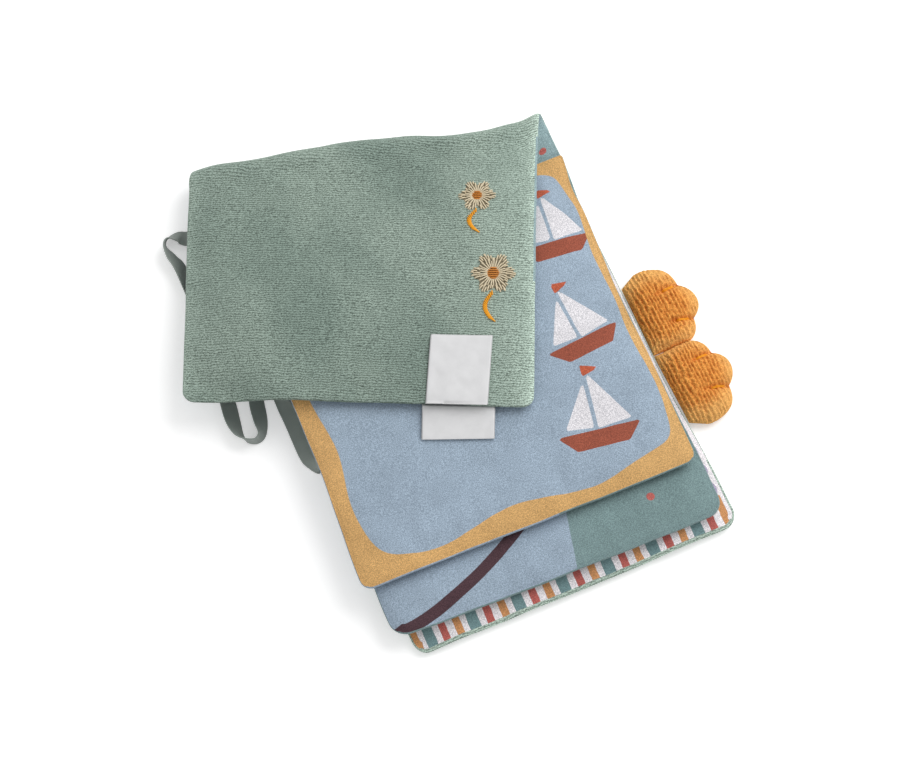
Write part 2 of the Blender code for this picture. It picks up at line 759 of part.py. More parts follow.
FRONT = Pad(
    COVER_WIDTH, COVER_THICKNESS, flat_base,
    free_edge(FRONT_REACH, FRONT_SLANT, FRONT_BOW, COVER_WIDTH, -COVER_LENGTH / 2),
    lambda x: COVER_LENGTH / 2 - CLEARANCE / 2,
    front_centre,
)
FRONT.corner = FRONT_CORNER_RADIUS
FRONT.right_tuck = front_tuck
SPINE = Pad(
    COVER_WIDTH, SPINE_THICKNESS, flat_base,
    lambda x: SPINE_EDGE + CLEARANCE / 2,
    lambda x: fold_y(x + FRONT_LEAN + SPINE_LEAN),
    spine_centre,
)
SPINE.closed_end = False
SPINE.right_tuck = spine_tuck
BACK = Pad(
    BACK_WIDTH, BACK_THICKNESS, back_base,
    lambda x: 0.0,
    lambda x: BACK_COVER_RIGHT_LENGTH - tan(FOLD_SKEW) * (BACK_WIDTH / 2 - x),
    turn=-2 * FOLD_SKEW,
)
BACK.closed_end = False
BACK.at = FOLD_RIGHT - BACK.turn @ Vector((BACK_WIDTH / 2, BACK_COVER_RIGHT_LENGTH))
BACK.at.x += FOLD_SHIFT
LEAF_1 = Pad(
    LEAF_WIDTH, LEAF_THICKNESS, leaf_1_base,
    free_edge(
        LEAF_1_REACH, LEAF_1_SLANT, LEAF_1_BOW, LEAF_WIDTH,
        SPINE_EDGE + LEAF_1_SEAM - LEAF_LENGTH,
    ),
    lambda x: SPINE_EDGE + LEAF_1_SEAM,
    lambda y: LEAF_1_SHIFT + LEAF_1_LEAN * (y / COVER_LENGTH + 1 / 2),
)
LEAF_1.corner = LEAF_1_CORNER_RADIUS
LEAF_2 = Pad(
    LEAF_WIDTH, LEAF_THICKNESS, leaf_2_base,
    lambda x: SPINE_EDGE + LEAF_2_SEAM - LEAF_LENGTH,
    lambda x: SPINE_EDGE + LEAF_2_SEAM,
    lambda y: LEAF_2_SHIFT,
)
LEAF_2.left_tuck = leaf_2_tuck
LEAF_2.right_tuck = leaf_2_side
LEAF_2.corner = LEAF_2_CORNER_RADIUS
LEAF_2.end_corner = SEWN_CORNER_RADIUS
BACK_CELLS = (16, 16)
BACK_TREE = panel_tree(BACK, BACK_CELLS)

build_book()
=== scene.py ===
"""Baby soft book: it lies on its front cover, with the back cover folded over two leaves.
Metres, +Z up, the free edges towards -Y, the spine towards +Y."""

import json
from math import cos, exp, hypot, log, pi, radians, sin, sqrt, tan

import bmesh
import bpy
from mathutils import Matrix, Vector, noise
from mathutils.bvhtree import BVHTree

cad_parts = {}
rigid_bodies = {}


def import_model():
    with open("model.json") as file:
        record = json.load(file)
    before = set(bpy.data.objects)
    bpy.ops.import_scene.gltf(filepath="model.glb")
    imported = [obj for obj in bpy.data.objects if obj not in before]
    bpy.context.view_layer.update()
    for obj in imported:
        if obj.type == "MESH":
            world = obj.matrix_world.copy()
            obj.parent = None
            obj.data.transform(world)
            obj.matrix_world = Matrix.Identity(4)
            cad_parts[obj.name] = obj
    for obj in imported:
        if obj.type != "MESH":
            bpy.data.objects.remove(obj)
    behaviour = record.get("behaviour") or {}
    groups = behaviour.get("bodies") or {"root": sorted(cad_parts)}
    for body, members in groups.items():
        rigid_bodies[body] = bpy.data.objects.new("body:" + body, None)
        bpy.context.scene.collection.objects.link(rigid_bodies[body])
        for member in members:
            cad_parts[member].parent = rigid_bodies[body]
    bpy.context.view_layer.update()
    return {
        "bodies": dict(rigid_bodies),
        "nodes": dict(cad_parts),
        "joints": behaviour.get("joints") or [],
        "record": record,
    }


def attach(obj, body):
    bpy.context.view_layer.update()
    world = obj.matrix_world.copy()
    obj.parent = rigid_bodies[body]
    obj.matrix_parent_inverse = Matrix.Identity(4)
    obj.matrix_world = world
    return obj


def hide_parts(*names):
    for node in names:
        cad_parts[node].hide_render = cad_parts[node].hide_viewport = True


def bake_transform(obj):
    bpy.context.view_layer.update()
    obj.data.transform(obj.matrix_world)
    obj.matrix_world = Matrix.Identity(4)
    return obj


MM = 0.001
UP = Vector((0.0, 0.0, 1.0))

# Covers and leaves, and how they lie
COVER_WIDTH = 166.0 * MM
COVER_LENGTH = 165.0 * MM
COVER_THICKNESS = 7.5 * MM
SPINE_THICKNESS = 5.5 * MM
BACK_THICKNESS = 5.5 * MM
LEAF_WIDTH = 165.0 * MM
LEAF_LENGTH = 169.5 * MM
LEAF_THICKNESS = 7.0 * MM
CORNER_RADIUS = 5.5 * MM
FRONT_CORNER_RADIUS = 8.0 * MM
LEAF_1_CORNER_RADIUS = 8.0 * MM
LEAF_2_CORNER_RADIUS = 5.5 * MM
SEWN_CORNER_RADIUS = 1.5 * MM
CLEARANCE = 0.3 * MM
SEAM_HEIGHT = 2.2 * MM
SEAM_THICKNESS = 2.4 * MM
SEAM_ROUND = 1.7 * MM
CROWN_REACH = 16.0 * MM
FRONT_LEAN = -3.5 * MM
SPINE_LEAN = -1.0 * MM
LEAF_1_SEAM = 9.5 * MM
LEAF_2_SEAM = 33.0 * MM
LEAF_1_SHIFT = -4.5 * MM
LEAF_1_LEAN = -4.5 * MM
LEAF_2_SHIFT = -8.0 * MM
LEAF_1_DROP = 20.0 * MM
LEAF_2_DROP = 36.0 * MM

# How far the sides are drawn in or spread, where that starts and over what run
FRONT_LEFT_TUCK = 3.2 * MM
FRONT_LEFT_TUCK_RUN = 45.0 * MM
FRONT_LEFT_TUCK_POWER = 16
SIDE_TUCK = 2.8 * MM
SIDE_TUCK_FROM = -70.0 * MM
SIDE_TUCK_RUN = 75.0 * MM
SPINE_TUCK_RUN = 35.0 * MM
LEAF_1_TUCK = 5.2 * MM
LEAF_1_TUCK_FROM = -66.0 * MM
LEAF_1_TUCK_RUN = 60.0 * MM
LEAF_2_SPREAD = 2.2 * MM
LEAF_2_TUCK = 3.2 * MM
LEAF_2_TUCK_RUN = 75.0 * MM
LEAF_2_BOW = 1.2 * MM
LEAF_2_BOW_AT = 33.0 * MM
LEAF_2_BOW_REACH = 28.0 * MM
LEAF_2_FLARE = 3.2 * MM
LEAF_2_FLARE_FROM = 88.0 * MM
LEAF_2_FLARE_RUN = 27.5 * MM

# The free edges: how far they reach out, their slant and their bow
FRONT_REACH = 4.05 * MM
FRONT_SLANT = -1.35 * MM
FRONT_BOW = 0.5 * MM
LEAF_1_REACH = 1.35 * MM
LEAF_1_SLANT = 0.35 * MM
LEAF_1_BOW = 1.05 * MM

# The back cover's fold
FOLD_FROM_SPINE = 70.0 * MM
FOLD_SHIFT = -5.0 * MM
FOLD_SKEW = radians(11.8)
FOLD_INNER_RADIUS = 3.5 * MM
FOLD_OVERHANG_DROOP = 8.0 * MM
FOLD_OVERHANG_REACH = 45.0 * MM
FOLD_RAMP_END = 22.0 * MM
FOLD_RAMP = 56.0 * MM
FOLD_STEPS = 28
FOLD_ARC_SHARE = 0.7
FOLD_WAVE = 0.35 * MM
FOLD_WAVE_PITCH = 34.0 * MM
FOLD_FINE_SHARE = 0.6
FOLD_FINE_TURNS = 2.4
FOLD_CRUMPLE = 0.9 * MM
BACK_COVER_RIGHT_LENGTH = 151.2 * MM
STRIP_ROWS_SHARE = 0.97
FLAP_ROWS_SHARE = 0.985
# How far the fold's line sags at even places from its left end to its right, and which
# shares of the strip and of the folded part stay in place
FOLD_SAGS = tuple(
    sag * MM
    for sag in (
        3.8, 3.5, 3.5, 3.4, 3.0, 2.8, 2.8, 2.6, 2.9, 3.7, 4.5, 5.3, 5.9, 6.0, 6.3, 7.0, 2.9,
    )
)
SAG_STRIP_SHARE = 0.35
SAG_FLAP_SHARE = 0.7
# Where the fold's crest sinks: its place across, its reach and its depth
FOLD_HOLLOWS = (
    (52.0 * MM, 17.0 * MM, 3.4 * MM),
    (20.0 * MM, 20.0 * MM, 1.4 * MM),
)
# How far the folded part's free left corner is drawn in
FLAP_CORNER_DRAWN = Vector((3.0, 0.9, 0.0)) * MM
# Gathers across the strip where its right side seam pulls it together
GATHER_PITCH = 7.5 * MM
GATHER_DEPTH = 0.9 * MM
GATHER_FROM_SHARE = 0.78

# Labels sewn into the back cover's free edge
LABEL_SHIFT = 49.0 * MM
LABEL_CLOTH = 0.35 * MM
LABEL_LIFT = 0.9 * MM
LABEL_BOW_SHARE = 0.3
LABEL_CURL_SHARE = 0.55
LABEL_ROOT_INSET = 1.5 * MM
CARE_LABEL_WIDTH = 29.0 * MM
CARE_LABEL_LENGTH = 34.5 * MM
CARE_LABEL_LEAN = 1.7 * MM
CARE_LABEL_EVEN_SHARE = 1.1
CARE_LABEL_CELLS = (40, 48)
LOOP_LABEL_WIDTH = 34.0 * MM
LOOP_LABEL_LENGTH = 16.5 * MM
LOOP_LABEL_SHIFT = 0.9 * MM
LOOP_LABEL_SHORT = 1.0 * MM
LOOP_LABEL_LEAN = 1.2 * MM
LOOP_LABEL_CELLS = (40, 60)
LOOP_OPEN = 0.35 * MM
LOOP_OPEN_POWER = 0.6
LOOP_FOLD_SHARPNESS = 12
ALMOST_ONE = 0.999
SLOPE_STEP = 0.002

# Embroidered flowers, the cells of their beds and their threads
FLOWER_RADIUS = 11.0 * MM
FLOWER_CENTRE_RADIUS = 3.2 * MM
FLOWER_FROM_SIDE = 20.0 * MM
FLOWER_PITCH = 41.0 * MM
FLOWER_FIRST = 66.0 * MM
FLOWER_SHARES = ((0.95, 0.0, 0.0), (0.8, 0.75, 1.0))
PETALS = 6
PETAL_LOBE_SHARE = 0.3
PETAL_ROOT_SHARE = 0.9
PETAL_CELLS = (96, 6)
CENTRE_CELLS = (12, 12)
STEM_LENGTH = 15.0 * MM
STEM_WIDTH = 1.8 * MM
STEM_BEND = 2 * STEM_WIDTH
STEM_ROOT_SHARE = 0.9
STEM_CELLS = (24, 3)
THREAD_RADIUS = 0.36 * MM
THREAD_SIDES = 6
PATCH_SUNK = 0.3 * MM
PATCH_HEIGHT = 0.1 * MM
STITCH_STEPS = 5
STITCH_LENGTH = 3.1 * MM
STITCH_PITCH = 0.98 * MM
STITCH_JITTER = 0.35 * MM
STITCH_SHIFT_PITCH = 1.7
STITCH_TILT_PITCH = 1.3
STITCH_TILT_SEED = 7
STITCH_ARCH = 0.5 * MM
STITCH_FLATNESS = 4
STITCH_DIP = 0.05 * MM

# Plush feet: their outline, ribbed pile, toes and stitches
FOOT_LENGTH = 31.0 * MM
FOOT_WIDTH = 39.5 * MM
FOOT_THICKNESS = 9.5 * MM
FOOT_PITCH = 37.0 * MM
FOOT_MIDDLE = 6.0 * MM
FOOT_CROWN_REACH = 12.0 * MM
FOOT_SWEEP = radians(100)
FOOT_ROOT_SHARE = 0.93
FOOT_CENTRE_SHARE = 0.36
FOOT_COLUMNS = 170
FOOT_ROWS = 120
TOE_SPREAD = radians(31)
TOE_LOBE_SHARE = 0.17
OUTER_TOE_SHARE = 1.16
RIB_PITCH = 2.0 * MM
RIB_DEPTH = 0.6 * MM
RIB_DRIFT = 1.7 * MM
RIB_DRIFT_ACROSS = 7.0 * MM
RIB_DRIFT_ALONG = 14.0 * MM
LOOP_SIZE = 1.0 * MM
LOOP_STRETCH = 1.6
LOOP_DEPTH = 0.6 * MM
LOOP_FINE_SHARE = 0.6
LOOP_FINE_TURNS = 2.3
UNDER_PILE_SHARE = 0.4
TIP_FROM = 0.55
TIP_PALER = 0.6
TOE_CREASE_DEPTH = 2.6 * MM
TOE_CREASE_WIDTH = 1.5 * MM
TOE_CREASE_FROM = -0.15
TOE_CREASE_RUN = 0.5
TOE_CREASE_SPREAD_SHARE = 0.3
TOE_STITCH_WIDTH = 0.9 * MM
TOE_STITCH_RADIUS = 0.32 * MM
TOE_STITCH_STRANDS = 2
TOE_STITCH_STEPS = 12
TOE_STITCH_INNER_SHARE = 0.3
TOE_STITCH_LONG_SHARE = 0.5
TOE_STITCH_DIP = 3 * TOE_STITCH_RADIUS
TOE_STITCH_FLATNESS = 8
ABOVE_ALL = 100.0 * MM

# Ribbon: its route outwards from the cover's side, along it, its height and roll, as
# shares of the cover's width, its length, the ribbon's width and a right angle
RIBBON_WIDTH = 8.5 * MM
RIBBON_THICKNESS = 0.5 * MM
RIBBON_RUN_OUT = 4.0 * MM
RIBBON_STEPS = 360
RIBBON_ROUTE_SHARES = (
    (0.117, 0.885, 0.24, 0.15),
    (0.142, 0.899, 0.34, 0.40),
    (0.172, 0.901, 0.52, 0.80),
    (0.186, 0.883, 0.56, 1.10),
    (0.181, 0.845, 0.48, 1.40),
    (0.170, 0.785, 0.43, 1.50),
    (0.178, 0.576, 0.50, 1.30),
    (0.187, 0.450, 0.42, 1.50),
    (0.195, 0.366, 0.32, 1.68),
    (0.201, 0.316, 0.36, 1.62),
    (0.201, 0.272, 0.48, 1.38),
    (0.188, 0.242, 0.56, 1.10),
    (0.163, 0.230, 0.56, 1.00),
    (0.141, 0.244, 0.52, 0.76),
    (0.129, 0.285, 0.38, 0.44),
    (0.120, 0.334, 0.34, 0.36),
    (0.108, 0.380, 0.44, 0.55),
    (0.090, 0.400, 0.55, 0.98),
    (0.072, 0.385, 0.54, 0.98),
    (0.056, 0.333, 0.47, 0.65),
    (0.045, 0.273, 0.31, 0.15),
    (0.043, 0.152, 0.28, 0.10),
    (0.038, 0.106, 0.45, 0.60),
    (0.031, 0.082, 0.53, 0.95),
    (0.025, 0.103, 0.53, 0.95),
    (0.024, 0.182, 0.53, 0.95),
    (0.028, 0.285, 0.51, 0.90),
    (0.040, 0.376, 0.44, 0.65),
    (0.048, 0.461, 0.38, 0.40),
    (0.049, 0.509, 0.38, 0.30),
)
RIBBON_ROOT_SHARES = (0.867, 0.542)
RIBBON_HALF_SHARES = (0.3, 0.6, 0.84, 0.9, 0.97, 1.0)
RIBBON_SELVEDGE_SHARE = 0.87
RIBBON_SELVEDGE_THICKER = 1.25

# Softness of the sewn pads, and the strength of their random waves
LINE_FINE = 0.25 * MM
LINE_COARSE = 1.3 * MM
LINE_GROWTH = 1.4
PUCKER_REACH = 9.0 * MM
PUCKER_PITCH = 6.5 * MM
PUCKER_DEPTH = 1.5 * MM
BACK_PUCKER_DEPTH = 0.8 * MM
PUCKERS_END = 3 * PUCKER_REACH
DENT_PITCH = 26.0 * MM
DENT_DEPTH = 0.8 * MM
DENT_ROOM_SHARE = 0.4
DENT_CONTRAST = 0.8
EDGE_WAVE_PITCH = 24.0 * MM
EDGE_WAVE = 0.7 * MM
EDGE_WAVE_REACH = 22.0 * MM
EDGE_INWARD_SHARE = 0.3
# The way inwards from each edge of a pad: right, left, start and end
WAYS_IN = {1: (-1, 0), 2: (1, 0), 3: (0, 1), 4: (0, -1)}
SPINE_WAVE = 0.2 * MM
RIPPLE_CONTRAST = 1.6
RIPPLE_SEED_STEPS = (7.31, 3.17)
DIMPLE_SEED_STEP = 5.7

# Which random wave each form takes
LOWER_FACE_SEED = 0.3
UPPER_FACE_SEED = 0.7
LIFT_SEED = 0.5
SPINE_SEED = 5
BACK_SEED = 9
LEAF_1_SEED = 13
LEAF_2_SEED = 17
FOLD_WAVE_SEED = 41
FOLD_FINE_SEED = 43
FOLD_CRUMPLE_SEED = 45
PAINTED_LIGHT_SEED = 51

# The cloth simulation that wrinkles the pads
CLOTH_CELL = 3.3 * MM
CLOTH_FRAMES = 20
CLOTH_QUALITY = 5
CLOTH_PRESSURE = 4.0
CLOTH_MASS = 0.1
CLOTH_BENDING = 0.4
CLOTH_SPARE_SHARE = 0.04
CLOTH_MOST_OUT = 0.5 * MM
CLOTH_MOST_IN = 1.8 * MM
HOLD_NEAR = 0.1
HOLD_FAR = 0.45
HOLD_REACH = 24.0 * MM
BLUR = tuple((i, j, (2 - abs(i)) * (2 - abs(j)) / 16) for i in (-1, 0, 1) for j in (-1, 0, 1))

# Hems: the grid cells that the other fabric covers at the sides, the start and the end
FRONT_HEM = (2, 4, 0)
FRONT_HEM_BROAD_SHARE = 0.2
LEAF_HEM = (1, 2, 1)
BACK_HEM = (1, 0, 2)
SEAM_GROOVE = 0.4 * MM
SEAM_GROOVE_WIDTH = 0.4 * MM
SEAM_GROOVE_FROM_EDGE = 1.1 * MM
# Where the lining shows along the folded part's right side
LINING_SHOWS = (0.42, 0.95)
LINING_SHOWS_CELLS = 3

# Edges of all prints
PRINT_EDGE = 0.25 * MM
PRINT_BLEED = 0.25 * MM
PRINT_BLEED_GRAIN = 0.7 * MM
PRINT_SOFTNESS = 0.12 * MM

# The front cover's lining: stripes across it, then a margin with thin wavy lines
STRIPE_PERIOD = 22.6 * MM
STRIPE_START = -75.3 * MM
STRIPES_END = 73.0 * MM
STRIPED_CORNER = -69.0 * MM
STRIPES_MEET = 0.4 * MM
STRIPE_WAVER = 0.9 * MM
STRIPE_WAVER_GRAIN = 6.0 * MM
LILAC_LINE = 77.5 * MM
LILAC_PITCH = 20.0 * MM
LILAC_SWING = 2.2 * MM
LILAC_SOLID = 0.35 * MM
LILAC_GONE = 0.75 * MM

# The back cover's lining: dots on two crossed square grids
LINING_DOT_PITCH = 34.0 * MM
LINING_DOT_SHIFTS = ((0.256, 0.2), (0.756, 0.7))

# The upper leaf's print: boats, each with its place, its size and its lean
BOATS = (
    (57.0 * MM, 14.0 * MM, 29.0 * MM, radians(6)),
    (44.0 * MM, -31.0 * MM, 31.0 * MM, radians(-8)),
    (62.0 * MM, 64.0 * MM, 28.0 * MM, radians(-4)),
    (4.0 * MM, 18.0 * MM, 28.0 * MM, radians(9)),
    (-38.0 * MM, 52.0 * MM, 30.0 * MM, radians(10)),
)
# A boat's outlines, as shares of its size
BOAT_SAIL = ((0.04, 0.3), (0.52, 0.34), (0.06, 1.12))
BOAT_JIB = ((-0.06, 0.32), (-0.44, 0.36), (-0.05, 0.98))
BOAT_HULL = ((-0.58, 0.24), (0.62, 0.24), (0.42, 0.0), (-0.36, 0.0))
BOAT_PENNANT = ((0.0, 1.14), (0.0, 1.3), (0.26, 1.22))
BOAT_ROUNDING = 0.6 * MM
BORDER_LEFT = 9.5 * MM
BORDER_RIGHT = 3.8 * MM
BORDER_BOTTOM = 9.0 * MM
BORDER_TOP = 4.8 * MM
BORDER_SWING = 2.7 * MM
BORDER_SWING_PITCH = 75.0 * MM
BORDER_SWING_PEAK = -5.0 * MM
BORDER_LEFT_TURNS = 1.3
BORDER_RIGHT_TURNS = 1.6
BORDER_CORNER = 5.5 * MM

# The lower leaf's print: where blue meets teal, a dark curved path, and dots
TEAL_FROM = 11.2 * MM
TEAL_SLANT = 0.23
TEAL_MIDDLE = -64.0 * MM
PATH_HALF = 2.7 * MM
PATH_STEPS = 60
PATH_POINTS = tuple(
    Vector((x * MM, y * MM))
    for x, y in (
        (-88, -77.8), (-80, -77.3), (-71, -76), (-62, -74), (-53, -71.4), (-44, -68.3),
        (-35, -64.6), (-26, -60.3), (-17, -55.5), (-8, -50.1), (2, -43.2), (13, -34.4),
        (24, -24), (35, -11), (46, 7), (57, 33), (65, 66), (70, 92),
    )
)
DOT_RADIUS = 2.05 * MM
DOTS = tuple(
    (x * MM, y * MM)
    for x, y in ((52.8, -60.4), (75, -22), (45, 44), (35, -40), (67, 24), (27, 76), (63, 74))
)

# Velour: the painted light on its nap along the seams and towards the right side, its tufts and
# its rows
PAINTED_LIGHT_REACH = 3.5 * MM
PAINTED_LIGHT_SPREAD = 48.0 * MM
PAINTED_LIGHT_RIPPLE = 12.0 * MM
PAINTED_LIGHT_RIPPLE_SHARE = 0.5
PAINTED_LIGHT_LEFT_SHARE = 0.5
PAINTED_LIGHT_NEAR_SHARE = 0.85
PAINTED_LIGHT_SPREAD_SHARE = 0.35
NAP_SIZE = 34.0 * MM
NAP_STRETCH = (1.0, 0.6, 1.0)
# The velour's painted rim highlight: where it starts on the facing value, and its largest share
PAINTED_RIM_FROM = 0.8
PAINTED_RIM_SHARE = 0.75
TUFT_SIZE = 0.5 * MM
TUFT_STRETCH = (0.7, 1.2, 1.0)
TUFT_HEIGHT = 0.3 * MM
PILE_ROW_PITCH = 1.25 * MM
PILE_ROW_DRIFT = 2.4 * MM
PILE_ROW_DRIFT_SIZE = 5.0 * MM
PILE_ROW_SHARE = 0.085
PILE_HILL_SIZE = 9.0 * MM
PILE_HILL_HEIGHT = 1.2 * MM
# How much even painted light the front cover's lit copy of the velour takes
FRONT_PAINTED_LIGHT_SHARE = 0.75

# The other fabrics' grains and heights
FABRIC_SPECULAR = 0.25
SHEEN_ROUGHNESS = 0.45
KNIT_GRAIN = 0.42 * MM
KNIT_STRETCH = (1.0, 0.8, 1.0)
KNIT_HEIGHT = 0.35 * MM
KNIT_CLOUD = 16.0 * MM
TERRY_GRAIN = 0.55 * MM
TERRY_HEIGHT = 0.5 * MM
SATIN_SHADE = 0.95
SATIN_CLOUD = 5.0 * MM
SATIN_HEIGHT = 0.05 * MM
SATIN_ROW_SHARE = 0.8
LABEL_RIB_PITCH = 0.5 * MM
LABEL_ROUGHNESS = 0.42
RIBBON_RIB_PITCH = 0.6 * MM
RIBBON_ROUGHNESS = 0.4
RIBBON_SHEEN = 0.2
THREAD_FIBRE = 0.3 * MM
THREAD_HEIGHT = 0.12 * MM
THREAD_SHADE = 0.78

# The part of each grain's range that runs from dark to light
NAP_RANGE = (0.3, 0.72)
TUFT_RANGE = (0.22, 0.78)
KNIT_RANGE = (0.3, 0.75)
CLOUD_RANGE = (0.3, 0.7)
TERRY_RANGE = (0.3, 0.72)
TERRY_PILE_RANGE = (-0.9, 0.35)
WEAVE_RANGE = (-1.5, 1.5)
FIBRE_RANGE = (0.3, 0.65)

# Floor, light and camera
WHITE = (1.0, 1.0, 1.0)
FLOOR = (0.93, 0.93, 0.93)
FLOOR_GLOW = 0.36
FLOOR_SIZE = 6.0
FLOOR_DROP = 0.2 * MM
ROOM_STRENGTH = 0.62
SOFTBOX_SIZE = 1.1
SOFTBOX_POWER = 9.0
SOFTBOX_AT = (0.75, 0.32, 0.85)
CAMERA_AZIMUTH = radians(-22.436)
CAMERA_HEIGHT = radians(69.958)
CAMERA_AWAY = 1.96
CAMERA_TARGET = Vector((-16.19, 27.89, 10.0)) * MM
CAMERA_LENS = 167.43
CAMERA_SENSOR = 36.0
CAMERA_CLIP = 0.05

# Heights and edges that follow from the sizes
SPINE_EDGE = COVER_LENGTH / 2
FOLD_MIDDLE_Z = SPINE_THICKNESS + FOLD_INNER_RADIUS
STACK_LEAF_1 = COVER_THICKNESS + CLEARANCE
STACK_LEAF_2 = STACK_LEAF_1 + LEAF_THICKNESS + CLEARANCE
STACK_BACK = STACK_LEAF_2 + LEAF_THICKNESS + CLEARANCE
SPINE_TOP = SPINE_THICKNESS + CLEARANCE


def colour(red, green, blue):
    """A linear colour from screen values of 0 to 255."""
    return tuple(
        value / 255 / 12.92 if value <= 10 else ((value / 255 + 0.055) / 1.055) ** 2.4
        for value in (red, green, blue)
    )


SAGE = colour(141, 156, 146)
SAGE_DEEP = colour(123, 139, 130)
# Pale sage: the colour of the velour's painted light, and its sheen tint
SAGE_PALE = colour(184, 202, 190)
TEAL = colour(128, 152, 152)
LINING_TEAL = colour(153, 177, 179)
STRIPE_TEAL = colour(124, 154, 156)
STRIPE_RED = colour(196, 106, 98)
STRIPE_ORANGE = colour(216, 154, 102)
PRINT_WHITE = colour(250, 244, 246)
LILAC = colour(190, 178, 206)
SKY = colour(162, 179, 195)
SAND = colour(220, 174, 112)
RUST = colour(160, 86, 66)
PLUM = colour(84, 60, 66)
SAIL_WHITE = colour(232, 229, 232)
PENNANT = colour(196, 98, 70)
PLUSH = colour(255, 178, 90)
PLUSH_PALE = colour(255, 206, 130)
# The terry's painted shade down between its loops
PLUSH_GROOVE_SHADE = colour(196, 114, 48)
SATIN_WHITE = colour(226, 226, 227)
# The colour of the velour's painted rim highlight
PAINTED_RIM_HIGHLIGHT = colour(214, 222, 214)
RIBBON_GREEN = colour(150, 159, 153)
CREAM = colour(226, 212, 182)
THREAD_ORANGE = colour(214, 138, 60)
THREAD_YELLOW = colour(250, 172, 40)
# The embroidery's dark bed: partly painted shade between the stitches, partly the ground seen
# through them
STITCH_GAP_PAINTED_SHADE = colour(128, 118, 96)

# Where each stripe starts, as a share of the pattern's period
STRIPE_STOPS = (
    (0.0, STRIPE_TEAL), (0.24, PRINT_WHITE), (0.38, STRIPE_RED), (0.545, PRINT_WHITE),
    (0.705, STRIPE_ORANGE), (0.865, PRINT_WHITE),
)

# The darkest and the lightest shade that each grain lays over its colour
TUFT_SHADES = ((0.3, 0.32, 0.3), (1.62, 1.62, 1.62))
KNIT_SHADES = ((0.68, 0.69, 0.71), (1.27, 1.27, 1.27))
KNIT_CLOUD_SHADES = ((0.94, 0.94, 0.94), (1.03, 1.03, 1.03))
TERRY_SHADES = ((0.7, 0.64, 0.56), (1.24, 1.24, 1.2))
SATIN_SHADES = ((0.93, 0.93, 0.93), (1.03, 1.03, 1.03))


def ease(value):
    return sin(pi / 2 * value)


def smooth(value):
    value = min(max(value, 0.0), 1.0)
    return value * value * (3 - 2 * value)


def crown(distance, reach=CROWN_REACH):
    left = 1 - min(max(distance / reach, 0.0), 1.0)
    return 1 - left * left


def fold_y(x):
    return FOLD_RIGHT.y + tan(FOLD_SKEW) * (FOLD_RIGHT.x - x)


def front_centre(y):
    return FRONT_LEAN * (y + COVER_LENGTH / 2) / COVER_LENGTH


def front_side(y, side):
    return front_centre(y) + side * COVER_WIDTH / 2


def spine_centre(y):
    return FRONT_LEAN + SPINE_LEAN * smooth((y - SPINE_EDGE) / LEAF_2_DROP)


def free_edge(reach, slant, bow, width, edge):
    """A free edge that slants and bows outwards a little."""

    def place(x):
        share = 2 * x / width
        return edge - reach - slant * share - bow * (1 - share * share)

    return place


def leaf_2_tuck(y):
    """The upper leaf's left side is drawn in towards the spine."""
    start = SPINE_EDGE + LEAF_2_SEAM - LEAF_LENGTH
    return LEAF_2_TUCK * smooth((y - start) / LEAF_2_TUCK_RUN) - LEAF_2_SPREAD


def leaf_1_tuck(y):
    """The lower leaf's left side stays under the upper leaf."""
    return LEAF_1_TUCK * smooth((y - LEAF_1_TUCK_FROM) / LEAF_1_TUCK_RUN)


def leaf_2_side(y):
    """The upper leaf's right side bows in at its middle and spreads at its seam."""
    bow = exp(-(((y - LEAF_2_BOW_AT) / LEAF_2_BOW_REACH) ** 2))
    flare = smooth((y - LEAF_2_FLARE_FROM) / LEAF_2_FLARE_RUN)
    return LEAF_2_BOW * bow - LEAF_2_FLARE * flare


def front_tuck(y):
    """The right side is drawn in along the feet; spine_tuck widens it again towards the fold."""
    return SIDE_TUCK * smooth((y - SIDE_TUCK_FROM) / SIDE_TUCK_RUN)


def front_left_tuck(y):
    """The free left corner is drawn in by its seam."""
    return FRONT_LEFT_TUCK * (1 - smooth((y + COVER_LENGTH / 2) / FRONT_LEFT_TUCK_RUN))


def spine_tuck(y):
    return SIDE_TUCK * (1 - smooth((y - SPINE_EDGE) / SPINE_TUCK_RUN))


def front_right(y):
    """The front cover's right side, to which the feet are sewn."""
    return Vector((front_side(y, 1) - front_tuck(y), y))


def flat_base(x, y):
    return 0.0


def leaf_1_base(x, y):
    share = (SPINE_EDGE + LEAF_1_SEAM - y) / LEAF_1_DROP
    return SPINE_TOP + (STACK_LEAF_1 - SPINE_TOP) * smooth(share)


def leaf_2_base(x, y):
    share = (SPINE_EDGE + LEAF_2_SEAM - y) / LEAF_2_DROP
    return SPINE_TOP + (STACK_LEAF_2 - SPINE_TOP) * smooth(share)


def back_base(x, y):
    fold_base = SPINE_THICKNESS + 2 * FOLD_INNER_RADIUS
    ramp = (SPINE_EDGE + LEAF_2_SEAM + FOLD_RAMP_END - y) / FOLD_RAMP
    beyond = (LEAF_2_SHIFT - LEAF_WIDTH / 2 - x) / FOLD_OVERHANG_REACH
    climb = (STACK_BACK - fold_base) * smooth(ramp)
    return fold_base + climb - FOLD_OVERHANG_DROOP * smooth(beyond)


def ripple(along, pitch, seed):
    """A soft random wave along a line, from -1 to 1."""
    first, second = RIPPLE_SEED_STEPS
    spot = Vector((along / pitch, seed * first, seed * second))
    return noise.noise(spot) * RIPPLE_CONTRAST


def dimple(x, y, pitch, seed):
    """Soft random dents over a surface, from 0 to 1."""
    value = noise.noise(Vector((x / pitch, y / pitch, seed * DIMPLE_SEED_STEP)))
    return min(max(0.5 + DENT_CONTRAST * value, 0.0), 1.0)


